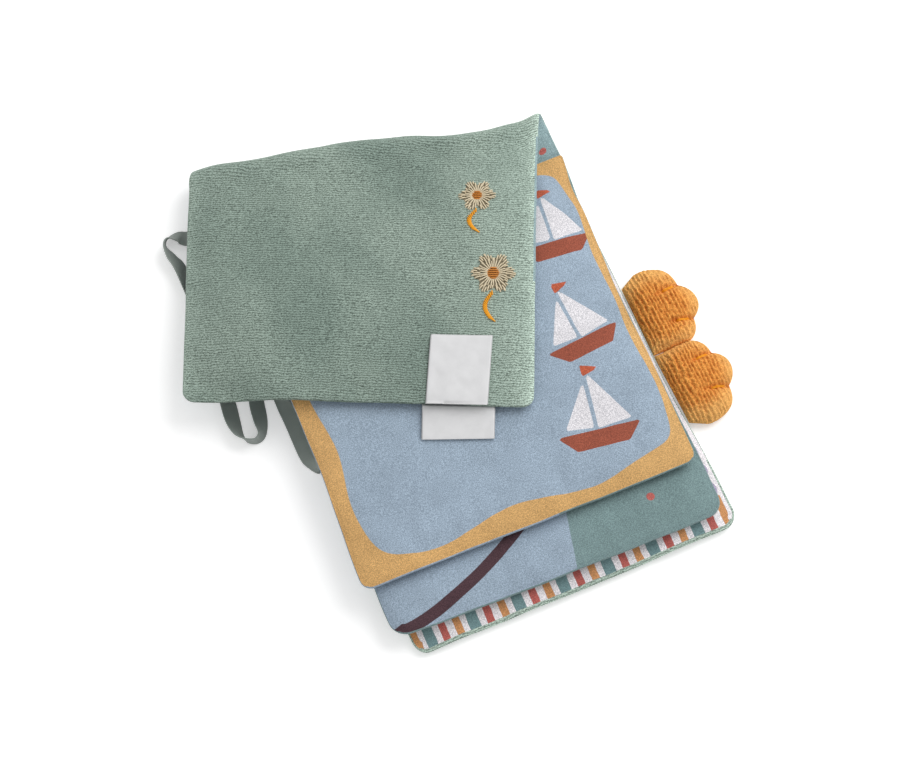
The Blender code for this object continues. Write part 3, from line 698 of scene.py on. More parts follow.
class Pad:
    """A sewn pad: its outline in its own plan, where it lies, and its two faces."""

    def __init__(self, width, thickness, base, start, end, centre=None, turn=0.0, at=(0, 0)):
        self.width = width
        self.thickness = thickness
        self.base = base
        self.start = start
        self.end = end
        self.centre = centre or (lambda y: 0.0)
        self.turn = Matrix.Rotation(turn, 2)
        self.at = Vector(at)
        self.corner = CORNER_RADIUS
        self.end_corner = CORNER_RADIUS
        self.left_tuck = lambda y: 0.0
        self.left_tuck_power = 1
        self.right_tuck = lambda y: 0.0
        self.closed_start = True
        self.closed_end = True
        self.seed = 1
        self.pucker = PUCKER_DEPTH
        self.wraps_over = True
        self.wave = EDGE_WAVE

    def world(self, x, y):
        share = x / self.width
        tucked = self.left_tuck(y) * (1 / 2 - share) ** self.left_tuck_power
        tucked -= self.right_tuck(y) * (1 / 2 + share)
        return self.turn @ Vector((x + tucked + self.centre(y), y)) + self.at

    def along(self, x, share):
        return self.start(x) + (self.end(x) - self.start(x)) * share

    def edges(self, x, y):
        """Each sewn edge: the distance to it and the place along it."""
        found = [(self.width / 2 - x, y, 1), (self.width / 2 + x, y, 2)]
        if self.closed_start:
            found.append((y - self.start(x), x, 3))
        if self.closed_end:
            found.append((self.end(x) - y, x, 4))
        return found

    def rounded(self, x, y):
        """Moves a place of the square grid into the outline with round corners."""
        half = self.width / 2
        low = self.start(x)
        high = self.end(x)
        for closed, edge, way, corner in (
            (self.closed_start, low, -1, self.corner),
            (self.closed_end, high, 1, self.end_corner),
        ):
            corner_x = half - corner
            corner_y = edge - way * corner
            out_x = abs(x) - corner_x
            out_y = (y - corner_y) * way
            if closed and out_x > 0 and out_y > 0:
                shrink = max(out_x, out_y) / hypot(out_x, out_y)
                x = (corner_x + out_x * shrink) * (1 if x > 0 else -1)
                y = corner_y + out_y * shrink * way
        return x, y

    def wavy(self, x, y, edges):
        """The sewn edges run a little in and out, and up and down."""
        lift = 0.0
        for distance, along, number in edges:
            near = 1 - smooth(distance / EDGE_WAVE_REACH)
            if near <= 0:
                continue
            seed = self.seed + number
            wave = 1 + ripple(along, EDGE_WAVE_PITCH, seed)
            inward = self.wave * EDGE_INWARD_SHARE * near * wave
            x += inward * WAYS_IN[number][0]
            y += inward * WAYS_IN[number][1]
            lift += self.wave * near * ripple(along, EDGE_WAVE_PITCH, seed + LIFT_SEED)
        return x, y, lift

    def creases(self, edges, face):
        """Puckers that run in from the seams, from 0 to the pucker's depth."""
        depth = 0.0
        for distance, along, number in edges:
            if distance < PUCKERS_END:
                near = exp(-distance / PUCKER_REACH) * smooth(distance / SEAM_ROUND)
                wave = 0.5 + 0.5 * ripple(along, PUCKER_PITCH, self.seed + number + face)
                depth += self.pucker * near * min(max(wave, 0.0), 1.0)
        return depth

    def faces(self, x, y):
        """The lower and the upper face at a place of the square grid."""
        edges = self.edges(x, y)
        nearest = max(min(edge[0] for edge in edges), 0.0)
        rim = sqrt(1 - (1 - min(nearest / SEAM_ROUND, 1.0)) ** 2)
        plan_x, plan_y = self.rounded(x, y)
        full = 1.0
        for edge in self.edges(plan_x, plan_y):
            full *= crown(edge[0])
        plan_x, plan_y, lift = self.wavy(plan_x, plan_y, edges)
        at = self.world(plan_x, plan_y)
        base = self.base(at.x, at.y)
        low = base + SEAM_HEIGHT * (1 - full)
        high = base + (SEAM_HEIGHT + SEAM_THICKNESS) * (1 - full) + self.thickness * full
        middle = (low + high) / 2
        room = (high - low) * DENT_ROOM_SHARE
        low_dent = self.creases(edges, LOWER_FACE_SEED)
        low_dent += DENT_DEPTH * full * dimple(x, y, DENT_PITCH, self.seed + 1)
        high_dent = self.creases(edges, UPPER_FACE_SEED)
        high_dent += DENT_DEPTH * full * dimple(x, y, DENT_PITCH, self.seed)
        low_dent = room * (1 - exp(-low_dent / room))
        high_dent = room * (1 - exp(-high_dent / room))
        away = (nearest - SEAM_GROOVE_FROM_EDGE) / SEAM_GROOVE_WIDTH
        groove = SEAM_GROOVE * exp(-away * away)
        if self.wraps_over:
            high_dent += groove
        else:
            low_dent += groove
        lower = middle - (middle - low) * rim + low_dent * rim + lift
        upper = middle + (high - middle) * rim - high_dent * rim + lift
        return Vector((at.x, at.y, lower)), Vector((at.x, at.y, upper))


def grid_lines(length):
    """Distances of a pad's grid lines from one edge, closer together at both edges."""
    near = []
    step = LINE_FINE
    while step < LINE_COARSE:
        near.append((near[-1] if near else 0.0) + step)
        step *= LINE_GROWTH
    span = length - 2 * near[-1]
    count = max(round(span / LINE_COARSE), 1)
    middle = [near[-1] + span * index / count for index in range(1, count)]
    return [0.0, *near, *middle, *(length - line for line in reversed(near)), length]


def grid_numbers(columns, rows):
    """The numbers of a closed pad's corners: its first face's and its second face's."""
    first = {}
    second = {}
    count = 0
    for i in range(columns):
        for j in range(rows):
            at_edge = i in (0, columns - 1) or j in (0, rows - 1)
            first[i, j] = count
            second[i, j] = count if at_edge else count + 1
            count += 1 if at_edge else 2
    return first, second


def placed(name, data):
    """A new object in the scene."""
    made = bpy.data.objects.new(name, data)
    bpy.context.scene.collection.objects.link(made)
    return made


def closed_shell(name, columns, rows, faces_at, plan_at=None):
    """A closed pad: the first face and the second one of a grid, joined round its edge.
    Its UV map holds the cloth's own flat plan, in metres."""
    first, second = grid_numbers(len(columns), len(rows))
    vertices = []
    plans = []
    for (i, j), number in first.items():
        low, high = faces_at(columns[i], rows[j])
        plan = plan_at(columns[i], rows[j]) if plan_at else (columns[i], rows[j])
        if second[i, j] == number:
            vertices.append((low + high) / 2)
            plans.append(plan)
        else:
            vertices += [low, high]
            plans += [plan, plan]
    polygons = []
    for i in range(len(columns) - 1):
        for j in range(len(rows) - 1):
            corners = ((i, j), (i + 1, j), (i + 1, j + 1), (i, j + 1))
            polygons.append([second[corner] for corner in corners])
            polygons.append([first[corner] for corner in reversed(corners)])
    mesh = bpy.data.meshes.new(name)
    mesh.from_pydata(vertices, [], polygons)
    mesh.polygons.foreach_set("material_index", [index % 2 for index in range(len(polygons))])
    facing_out(mesh)
    layer = mesh.uv_layers.new(name="cloth")
    for loop in mesh.loops:
        layer.data[loop.index].uv = plans[loop.vertex_index]
    mesh.shade_smooth()
    return placed(name, mesh), plans


def hold(made, seam, inner):
    """The seam is fixed; the wadding holds the rest softly, least beside the seam."""
    group = made.vertex_groups.new(name="held")
    group.add(seam, 1.0, "REPLACE")
    for number, share in inner:
        group.add([number], HOLD_NEAR + (HOLD_FAR - HOLD_NEAR) * share, "REPLACE")
    return group.name


def simulate(made, held):
    """Blender's Cloth with pressure and no gravity, on cloth a little larger than its pad."""
    modifier = made.modifiers.new("cloth", "CLOTH")
    settings = modifier.settings
    settings.quality = CLOTH_QUALITY
    settings.mass = CLOTH_MASS
    settings.bending_stiffness = CLOTH_BENDING
    settings.use_pressure = True
    settings.uniform_pressure_force = CLOTH_PRESSURE
    settings.vertex_group_mass = held
    settings.shrink_min = -CLOTH_SPARE_SHARE
    settings.effector_weights.gravity = 0.0
    modifier.point_cache.frame_start = 1
    modifier.point_cache.frame_end = CLOTH_FRAMES
    for frame in range(1, CLOTH_FRAMES + 1):
        bpy.context.scene.frame_set(frame)
    shape = made.evaluated_get(bpy.context.evaluated_depsgraph_get()).to_mesh()
    after = [vertex.co.copy() for vertex in shape.vertices]
    moves = [new - vertex.co for new, vertex in zip(after, made.data.vertices)]
    bpy.context.scene.frame_set(1)
    return moves


def wrinkles(width, length, faces_at):
    """How a simulated pad's faces move, as a function of shares across and along it."""
    columns, rows = (
        [index / round(size / CLOTH_CELL) for index in range(round(size / CLOTH_CELL) + 1)]
        for size in (width, length)
    )
    made = closed_shell("coarse_pad", columns, rows, faces_at)[0]
    faces = grid_numbers(len(columns), len(rows))
    seam = []
    inner = []
    for (i, j), number in faces[0].items():
        near = min(i, j, len(columns) - 1 - i, len(rows) - 1 - j)
        share = min(near * CLOTH_CELL / HOLD_REACH, 1.0)
        if near == 0:
            seam.append(number)
        else:
            inner += [(number, share), (faces[1][i, j], share)]
    moves = simulate(made, hold(made, seam, inner))
    grids = [even_out(face, moves, len(columns), len(rows)) for face in faces]
    bpy.data.objects.remove(made)

    def at(across, along):
        return tuple(between(grid, across, along) for grid in grids)

    return at


def even_out(numbers, moves, columns, rows):
    """The rise of each place of a face, its smallest wrinkles evened out."""
    rise = {place: moves[number].z for place, number in numbers.items()}
    grid = []
    for i in range(columns):
        line = []
        for j in range(rows):
            total = 0.0
            for across, along, weight in BLUR:
                place = (min(max(i + across, 0), columns - 1), min(max(j + along, 0), rows - 1))
                total += rise[place] * weight
            line.append(total)
        grid.append(line)
    return grid


def between(grid, across, along):
    """A smooth value between the places of an even grid."""
    x = min(max(across, 0.0), 1.0) * (len(grid) - 1)
    y = min(max(along, 0.0), 1.0) * (len(grid[0]) - 1)
    i = min(int(x), len(grid) - 2)
    j = min(int(y), len(grid[0]) - 2)
    columns = []
    for column in range(i - 1, i + 3):
        line = grid[min(max(column, 0), len(grid) - 1)]
        values = [line[min(max(row, 0), len(line) - 1)] for row in range(j - 1, j + 3)]
        columns.append(through(*values, y - j))
    return through(*columns, x - i)


def through(a, b, c, d, t):
    """A Catmull-Rom curve's value between b and c."""
    return 0.5 * (
        2 * b + (c - a) * t + (2 * a - 5 * b + 4 * c - d) * t * t
        + (3 * b - a - 3 * c + d) * t * t * t
    )


def along_curve(places, share):
    """A smooth curve through even places, or numbers, at a share of its run."""
    spot = min(max(share, 0.0), 1.0) * (len(places) - 1)
    index = min(int(spot), len(places) - 2)
    before = places[max(index - 1, 0)]
    after = places[min(index + 2, len(places) - 1)]
    return through(before, places[index], places[index + 1], after, spot - index)


def limited(move, most_out, most_in):
    """Caps a move softly: outwards, against the next pad, and inwards."""
    most = most_out if move > 0 else most_in
    return move * most / (most + abs(move))


def hem(made, columns, rows, side, start, end, face, broad_share=0.0):
    """The other face's fabric comes round the edges, some cells in on each, and one more
    along the sides' first share."""
    last_column = len(columns) - 2
    last_row = len(rows) - 2
    for i in range(last_column + 1):
        for j in range(last_row + 1):
            broad = broad_share > 0 and rows[j] < broad_share
            at_side = min(i, last_column - i) < side + broad
            at_start = j < start
            at_end = last_row - j < end
            if at_side or at_start or at_end:
                made.data.polygons[2 * (i * (last_row + 1) + j) + face].material_index = 1 - face


def facing_out(mesh):
    """Turns a closed mesh's faces outwards."""
    shape = bmesh.new()
    shape.from_mesh(mesh)
    if shape.calc_volume(signed=True) < 0:
        bmesh.ops.reverse_faces(shape, faces=shape.faces)
    shape.to_mesh(mesh)
    shape.free()


def mark(made, name, values):
    """Keeps a number at each corner of the cloth, for its print."""
    layer = made.data.attributes.new(name, "FLOAT", "POINT")
    layer.data.foreach_set("value", values)


def dress(made, *finishes):
    for finish in finishes:
        made.data.materials.append(finish)


# Prints: signed distances, in metres and positive inside a shape


def soft_least(values, reach):
    """The least of some distances, with the corners between them rounded."""
    total = sum(exp(-value / reach) for value in values)
    return -reach * log(total)


def to_line(x, y, start, end):
    """Distance to the straight line between two places."""
    (ax, ay), (bx, by) = start, end
    run_x = bx - ax
    run_y = by - ay
    share = ((x - ax) * run_x + (y - ay) * run_y) / (run_x ** 2 + run_y ** 2)
    share = min(max(share, 0.0), 1.0)
    return hypot(x - ax - run_x * share, y - ay - run_y * share)


def inside_polygon(x, y, corners):
    """Distance to a polygon's outline, positive inside."""
    sides = list(zip(corners, (*corners[1:], corners[0])))
    nearest = min(to_line(x, y, start, end) for start, end in sides)
    inside = False
    for (ax, ay), (bx, by) in sides:
        if (ay > y) != (by > y) and x < ax + (bx - ax) * (y - ay) / (by - ay):
            inside = not inside
    return nearest if inside else -nearest


def near_line(x, y, points, half):
    """Positive within a band round a line of points."""
    return half - min(to_line(x, y, start, end) for start, end in zip(points, points[1:]))


def boat_shapes(x, y, boats):
    """White sails, rust hulls and pennants, each as a distance."""
    sails = hulls = pennants = -1.0
    for at_x, at_y, size, lean in boats:
        if hypot(x - at_x, y - at_y) > 2 * size:
            continue
        local_x = ((x - at_x) * cos(lean) + (y - at_y) * sin(lean)) / size
        local_y = ((y - at_y) * cos(lean) - (x - at_x) * sin(lean)) / size
        sail = max(
            inside_polygon(local_x, local_y, BOAT_SAIL),
            inside_polygon(local_x, local_y, BOAT_JIB),
        )
        sails = max(sails, sail * size + BOAT_ROUNDING)
        hull = inside_polygon(local_x, local_y, BOAT_HULL)
        hulls = max(hulls, hull * size + BOAT_ROUNDING)
        pennant = inside_polygon(local_x, local_y, BOAT_PENNANT)
        pennants = max(pennants, pennant * size + BOAT_ROUNDING / 2)
    return sails, hulls, pennants


def sky_field(x, y):
    """Positive in the upper leaf's inner field, negative in its wavy border."""
    turn = 2 * pi / BORDER_SWING_PITCH
    half = LEAF_WIDTH / 2
    start = SPINE_EDGE + LEAF_2_SEAM - LEAF_LENGTH
    end = SPINE_EDGE + LEAF_2_SEAM
    bottom = BORDER_BOTTOM + BORDER_SWING * cos(turn * (x - BORDER_SWING_PEAK))
    left = BORDER_LEFT + BORDER_SWING / 2 * sin(turn * y * BORDER_LEFT_TURNS)
    right = BORDER_RIGHT + BORDER_SWING / 4 * sin(turn * y * BORDER_RIGHT_TURNS)
    top = BORDER_TOP + BORDER_SWING / 2 * cos(turn * x)
    distances = (x + half - left, half - x - right, y - start - bottom, end - y - top)
    return soft_least(distances, BORDER_CORNER)


def shore(x, y):
    """Positive where the print is teal, negative where it is blue."""
    return x - TEAL_FROM - TEAL_SLANT * (y - TEAL_MIDDLE)


def sewn_pad(name, pad, length, hem_cells, broad_share=0.0):
    """A pad between its four seams, its lower fabric brought round the edge."""
    lines = [line - pad.width / 2 for line in grid_lines(pad.width)]
    rows = [line / length for line in grid_lines(length)]

    def plain_faces(across, share):
        x = (across - 0.5) * pad.width
        return pad.faces(x, pad.along(x, share))

    moved = wrinkles(pad.width, length, plain_faces)

    def faces_at(x, share):
        lower, upper = pad.faces(x, pad.along(x, share))
        return wrinkled(lower, upper, moved(x / pad.width + 0.5, share))

    def plan_at(x, share):
        return x, pad.along(x, share)

    made, plans = closed_shell(name, lines, rows, faces_at, plan_at)
    hem(made, lines, rows, *hem_cells, 0, broad_share)
    return made, plans


def wrinkled(lower, upper, rises):
    """Both faces with their simulated wrinkles."""
    lower = lower - UP * limited(-rises[0], CLOTH_MOST_OUT, CLOTH_MOST_IN)
    upper = upper + UP * limited(rises[1], CLOTH_MOST_OUT, CLOTH_MOST_IN)
    return lower, upper


def front_cover():
    hem_cells = (FRONT_HEM, FRONT_HEM_BROAD_SHARE)
    made = sewn_pad("front_cover_pad", FRONT, COVER_LENGTH, *hem_cells)[0]
    dress(made, STRIPED_LINING, LIT_VELOUR_COPY)
    return made


def leaf(name, pad, upper_print, lower_print):
    made, plans = sewn_pad(name, pad, LEAF_LENGTH, LEAF_HEM)
    dress(made, upper_print, lower_print)
    return made, plans


def upper_leaf():
    made, plans = leaf("leaf_2_pad", LEAF_2, BOAT_PRINT, BLUE_TEAL_KNIT)
    shapes = [boat_shapes(x, y, BOATS) for x, y in plans]
    mark(made, "field", [sky_field(x, y) for x, y in plans])
    mark(made, "sails", [shape[0] for shape in shapes])
    mark(made, "hulls", [shape[1] for shape in shapes])
    mark(made, "pennants", [shape[2] for shape in shapes])
    mark(made, "teal", [shore(x, y) for x, y in plans])
    return made


def lower_leaf():
    made, plans = leaf("leaf_1_pad", LEAF_1, PATH_PRINT, TEAL_KNIT)
    mark(made, "teal", [shore(x, y) for x, y in plans])
    line = [along_curve(PATH_POINTS, step / PATH_STEPS) for step in range(PATH_STEPS + 1)]
    mark(made, "path", [near_line(x, y, line, PATH_HALF) for x, y in plans])
    return made


def strip_faces(x, share):
    """The back cover's strip between the spine seam and the fold: outer and inner face."""
    weight = smooth((x / COVER_WIDTH + 0.5 - GATHER_FROM_SHARE) / (1 - GATHER_FROM_SHARE))
    weight *= smooth((COVER_WIDTH / 2 - abs(x)) / (2 * SEAM_ROUND))
    turn = 2 * pi * share * FOLD_FROM_SPINE / GATHER_PITCH
    weight *= smooth(share * (1 - share) * 4)
    dent = GATHER_DEPTH * weight * (0.5 + 0.5 * sin(turn + x / GATHER_PITCH))
    outer, inner = SPINE.faces(x, SPINE.along(x, share))
    return outer, inner - UP * dent


def fold_faces(x, angle):
    """The soft half roll at the fold: outer and inner face."""
    across = Vector((sin(FOLD_SKEW), cos(FOLD_SKEW)))
    world_x = spine_centre(FOLD_RIGHT.y) + x
    side = COVER_WIDTH / 2 - abs(x)
    rim = sqrt(1 - (1 - min(side / SEAM_ROUND, 1.0)) ** 2)
    pinch = 1 - crown(side)
    top = (angle / (pi / 2) + 1) / 2
    far = SPINE_THICKNESS - SEAM_HEIGHT - SEAM_THICKNESS
    outer = FOLD_MIDDLE_Z - pinch * (SEAM_HEIGHT + (far - SEAM_HEIGHT) * top)
    inner = FOLD_INNER_RADIUS + pinch * (far + (SEAM_HEIGHT - far) * top)
    middle = (outer + inner) / 2
    half = (outer - inner) / 2 * rim
    wave = ripple(x, FOLD_WAVE_PITCH, FOLD_WAVE_SEED)
    fine_pitch = FOLD_WAVE_PITCH / FOLD_FINE_TURNS
    wave += FOLD_FINE_SHARE * ripple(x, fine_pitch, FOLD_FINE_SEED + angle / 3)
    hollow = sum(
        depth * exp(-(((x - at) / reach) ** 2)) for at, reach, depth in FOLD_HOLLOWS
    )
    dent = cos(angle) * (FOLD_WAVE * wave - hollow)
    round_fold = 2 * angle * FOLD_MIDDLE_Z
    crumple = dimple(x, round_fold, FOLD_WAVE_PITCH / 2, FOLD_CRUMPLE_SEED)
    crumple *= FOLD_CRUMPLE * cos(angle)
    found = []
    for radius in (middle + half + dent - crumple, middle - half + dent / 2 + crumple):
        out = across * (radius * cos(angle) + CLEARANCE)
        along_x = world_x + out.x + FOLD_SHIFT * top
        at = (along_x, fold_y(world_x) + out.y, FOLD_MIDDLE_Z + radius * sin(angle))
        found.append(Vector(at))
    return found


def sagged(part, value, x, faces):
    """The fold's line sags, and draws the cloth beside it along."""
    weight = 1.0
    if part == "strip":
        weight = smooth((value - SAG_STRIP_SHARE) / (1 - SAG_STRIP_SHARE))
    if part == "flap":
        weight = smooth((value - SAG_FLAP_SHARE) / (1 - SAG_FLAP_SHARE))
    across = Vector((sin(FOLD_SKEW), cos(FOLD_SKEW), 0.0))
    shift = across * along_curve(FOLD_SAGS, x / COVER_WIDTH + 0.5) * weight
    return [face - shift for face in faces]


def back_cover_rows():
    """Rows over the strip, round the fold and over the folded part."""
    strip = [line / FOLD_FROM_SPINE for line in grid_lines(FOLD_FROM_SPINE)]
    flap = [line / BACK_COVER_RIGHT_LENGTH for line in grid_lines(BACK_COVER_RIGHT_LENGTH)]
    rows = [("strip", share) for share in strip if share < STRIP_ROWS_SHARE]
    for step in range(FOLD_STEPS + 1):
        rows.append(("fold", pi * step / FOLD_STEPS - pi / 2))
    rows += [("flap", share) for share in reversed(flap) if share < FLAP_ROWS_SHARE]
    return rows


def back_cover():
    """The back cover in one piece, from the spine seam round the fold to its free edge."""

    def plain_flap(across, share):
        x = (across - 0.5) * COVER_WIDTH
        return BACK.faces(x, BACK.along(x, share))

    moved = wrinkles(COVER_WIDTH, BACK_COVER_RIGHT_LENGTH, plain_flap)

    def faces_at(x, row):
        part, value = row
        if part == "strip":
            outer, inner = strip_faces(x, value)
        elif part == "fold":
            outer, inner = fold_faces(x, value)
        else:
            lower, upper = BACK.faces(x, BACK.along(x, value))
            rises = moved(x / COVER_WIDTH + 0.5, value)
            inner, outer = wrinkled(lower, upper, rises)
            drawn = FLAP_CORNER_DRAWN * (1 - value) * smooth(0.5 - x / COVER_WIDTH)
            inner, outer = inner + drawn, outer + drawn
        return sagged(part, value, x, (inner, outer))

    def plan_at(x, row):
        part, value = row
        strip = FOLD_FROM_SPINE - tan(FOLD_SKEW) * x
        arc = pi * FOLD_MIDDLE_Z * FOLD_ARC_SHARE
        if part == "strip":
            return x, strip * value
        if part == "fold":
            return x, strip + arc * (value / pi + 0.5)
        return x, strip + arc + BACK.end(x) * (1 - value)

    lines = [line - COVER_WIDTH / 2 for line in grid_lines(COVER_WIDTH)]
    rows = back_cover_rows()
    made, plans = closed_shell("back_cover_pad", lines, rows, faces_at, plan_at)
    hem(made, lines, rows, *BACK_HEM, 1)
    lining_edge(made, len(lines) - 1, rows)
    dress(made, SAGE_VELOUR, DOTTED_LINING)
    # Painted light on the velour: lighter along the side seams and towards the right side
    mark(made, "brushed", [painted_light_on_nap(x, y) for x, y in plans])
    return made


def lining_edge(made, columns, rows):
    """The lining shows along the folded part's right side, above its middle."""
    for row, (part, value) in enumerate(rows[:-1]):
        if part == "flap" and LINING_SHOWS[0] < value < LINING_SHOWS[1]:
            for column in range(columns - LINING_SHOWS_CELLS, columns):
                made.data.polygons[2 * (column * (len(rows) - 1) + row)].material_index = 1


def painted_light_on_nap(x, y):
    """Painted light on the nap, where light falls: more along the side seams and towards the
    right side.
    """
    side = COVER_WIDTH / 2 - x
    left = COVER_WIDTH / 2 + x
    ripples = 1 + PAINTED_LIGHT_RIPPLE_SHARE * ripple(y, PAINTED_LIGHT_RIPPLE, PAINTED_LIGHT_SEED)
    near = exp(-side / PAINTED_LIGHT_REACH) * ripples + PAINTED_LIGHT_LEFT_SHARE * exp(-left / PAINTED_LIGHT_REACH)
    spread_out = smooth(1 - side / PAINTED_LIGHT_SPREAD)
    return min(PAINTED_LIGHT_NEAR_SHARE * near + PAINTED_LIGHT_SPREAD_SHARE * spread_out, 1.0)


def surface_of(made):
    """A finished piece's faces as a search tree, for what is sewn on it."""
    shape = bmesh.new()
    shape.from_mesh(made.data)
    bmesh.ops.triangulate(shape, faces=shape.faces)
    tree = BVHTree.FromBMesh(shape)
    shape.free()
    return tree


def on_velour(tree, x, y):
    """The velour's height over a place of the folded cover's own plan."""
    at = BACK.world(x, y)
    above = Vector((at.x, at.y, 2 * STACK_BACK))
    hit = tree.ray_cast(above, -UP)[0]
    return Vector((at.x, at.y, hit.z if hit else STACK_BACK + BACK_THICKNESS))


def spread(count):
    """Even places from -1 to 1."""
    return [2 * index / count - 1 for index in range(count + 1)]


def patch_base(name, cells, place):
    """The low closed bed under some embroidery, over place(s, t)."""

    def faces_at(s, t):
        at = place(s, t)
        return at - UP * PATCH_SUNK, at + UP * PATCH_HEIGHT

    columns, rows = (spread(count) for count in cells)
    return closed_shell(name, columns, rows, faces_at)[0]


def stitch(tree, start, end):
    """A stitch between two places of the cover's plan, a little arched over the velour."""
    points = []
    for index in range(STITCH_STEPS + 1):
        share = index / STITCH_STEPS
        at = on_velour(tree, *(start + (end - start) * share))
        arch = STITCH_ARCH * (1 - (2 * share - 1) ** STITCH_FLATNESS)
        points.append(at + UP * (PATCH_HEIGHT - STITCH_DIP + arch))
    return points


def petal_edge(angle, radius):
    return radius * (1 - PETAL_LOBE_SHARE * (1 - abs(cos(PETALS / 2 * angle))))


def petal_stitches(tree, middle, radius, hole):
    """Rows of short stitches that run outwards over the petals, staggered."""
    lines = []
    out = hole
    row = 0
    while out < radius:
        count = round(2 * pi * (out + STITCH_LENGTH / 2) / STITCH_PITCH)
        for index in range(count):
            angle = 2 * pi * (index + 0.5 * (row % 2)) / count
            shift = STITCH_LENGTH / 2 * (index % 2)
            shift += STITCH_JITTER * ripple(index, STITCH_SHIFT_PITCH, row)
            way = Vector((cos(angle), sin(angle)))
            first = out + shift if row else hole * PETAL_ROOT_SHARE
            last = min(out + shift + STITCH_LENGTH, petal_edge(angle, radius))
            if last - first > STITCH_PITCH:
                tilt = ripple(index, STITCH_TILT_PITCH, row + STITCH_TILT_SEED)
                tilt = Vector((-way.y, way.x)) * STITCH_JITTER * tilt
                lines.append(stitch(tree, middle + way * first, middle + way * last + tilt))
        out += STITCH_LENGTH
        row += 1
    return lines


def centre_stitches(tree, middle, radius):
    """Satin stitches side by side across the flower's centre."""
    lines = []
    count = round(2 * radius / STITCH_PITCH)
    for index in range(count):
        y = radius * (2 * (index + 0.5) / count - 1)
        half = sqrt(radius * radius - y * y)
        lines.append(stitch(tree, middle + Vector((-half, y)), middle + Vector((half, y))))
    return lines


def stem_stitches(tree, stem_at, length):
    """Slanted satin stitches along the stem."""
    lines = []
    count = round(length / STITCH_PITCH)
    for index in range(count):
        along = (index + 0.5) / count
        slant = STITCH_PITCH / length
        lines.append(stitch(tree, stem_at(along - slant, -1), stem_at(along + slant, 1)))
    return lines


def flower(number, x, y, size, tree):
    """Round petals, a centre and a curved stem, embroidered on the velour."""
    radius = FLOWER_RADIUS * size
    hole = FLOWER_CENTRE_RADIUS * size
    middle = Vector((x, y))

    def petals(s, t):
        angle = pi * s
        out = hole + (petal_edge(angle, radius) - hole) * (t + 1) / 2
        return on_velour(tree, x + out * cos(angle), y + out * sin(angle))

    def centre(s, t):
        out = hole * sqrt(s * s + t * t - s * s * t * t)
        spin = Vector((s, t)).normalized() if (s or t) else Vector((0.0, 0.0))
        return on_velour(tree, x + out * spin.x, y + out * spin.y)

    def stem_at(along, side):
        bend = STEM_BEND * sin(pi * along)
        down = radius * STEM_ROOT_SHARE + STEM_LENGTH * size * along
        return Vector((x - bend + STEM_WIDTH * side / 2, y - down))

    def stem(s, t):
        return on_velour(tree, *stem_at((s + 1) / 2, t))

    name = f"flower_{number}"
    parts = []
    petal_lines = petal_stitches(tree, middle, radius, hole)
    centre_lines = centre_stitches(tree, middle, hole)
    stem_lines = stem_stitches(tree, stem_at, STEM_LENGTH * size)
    for part, finish, cells, place, lines in (
        ("petals", CREAM_THREAD, PETAL_CELLS, petals, petal_lines),
        ("centre", ORANGE_THREAD, CENTRE_CELLS, centre, centre_lines),
        ("stem", YELLOW_THREAD, STEM_CELLS, stem, stem_lines),
    ):
        base = patch_base(f"{name}_{part}_bed", cells, place)
        made = laid_threads(f"{name}_{part}_stitches", lines, THREAD_RADIUS, finish, base)
        parts.append((f"{name}_{part}", f"{finish.name.split('_')[0]}_thread", made))
    return parts


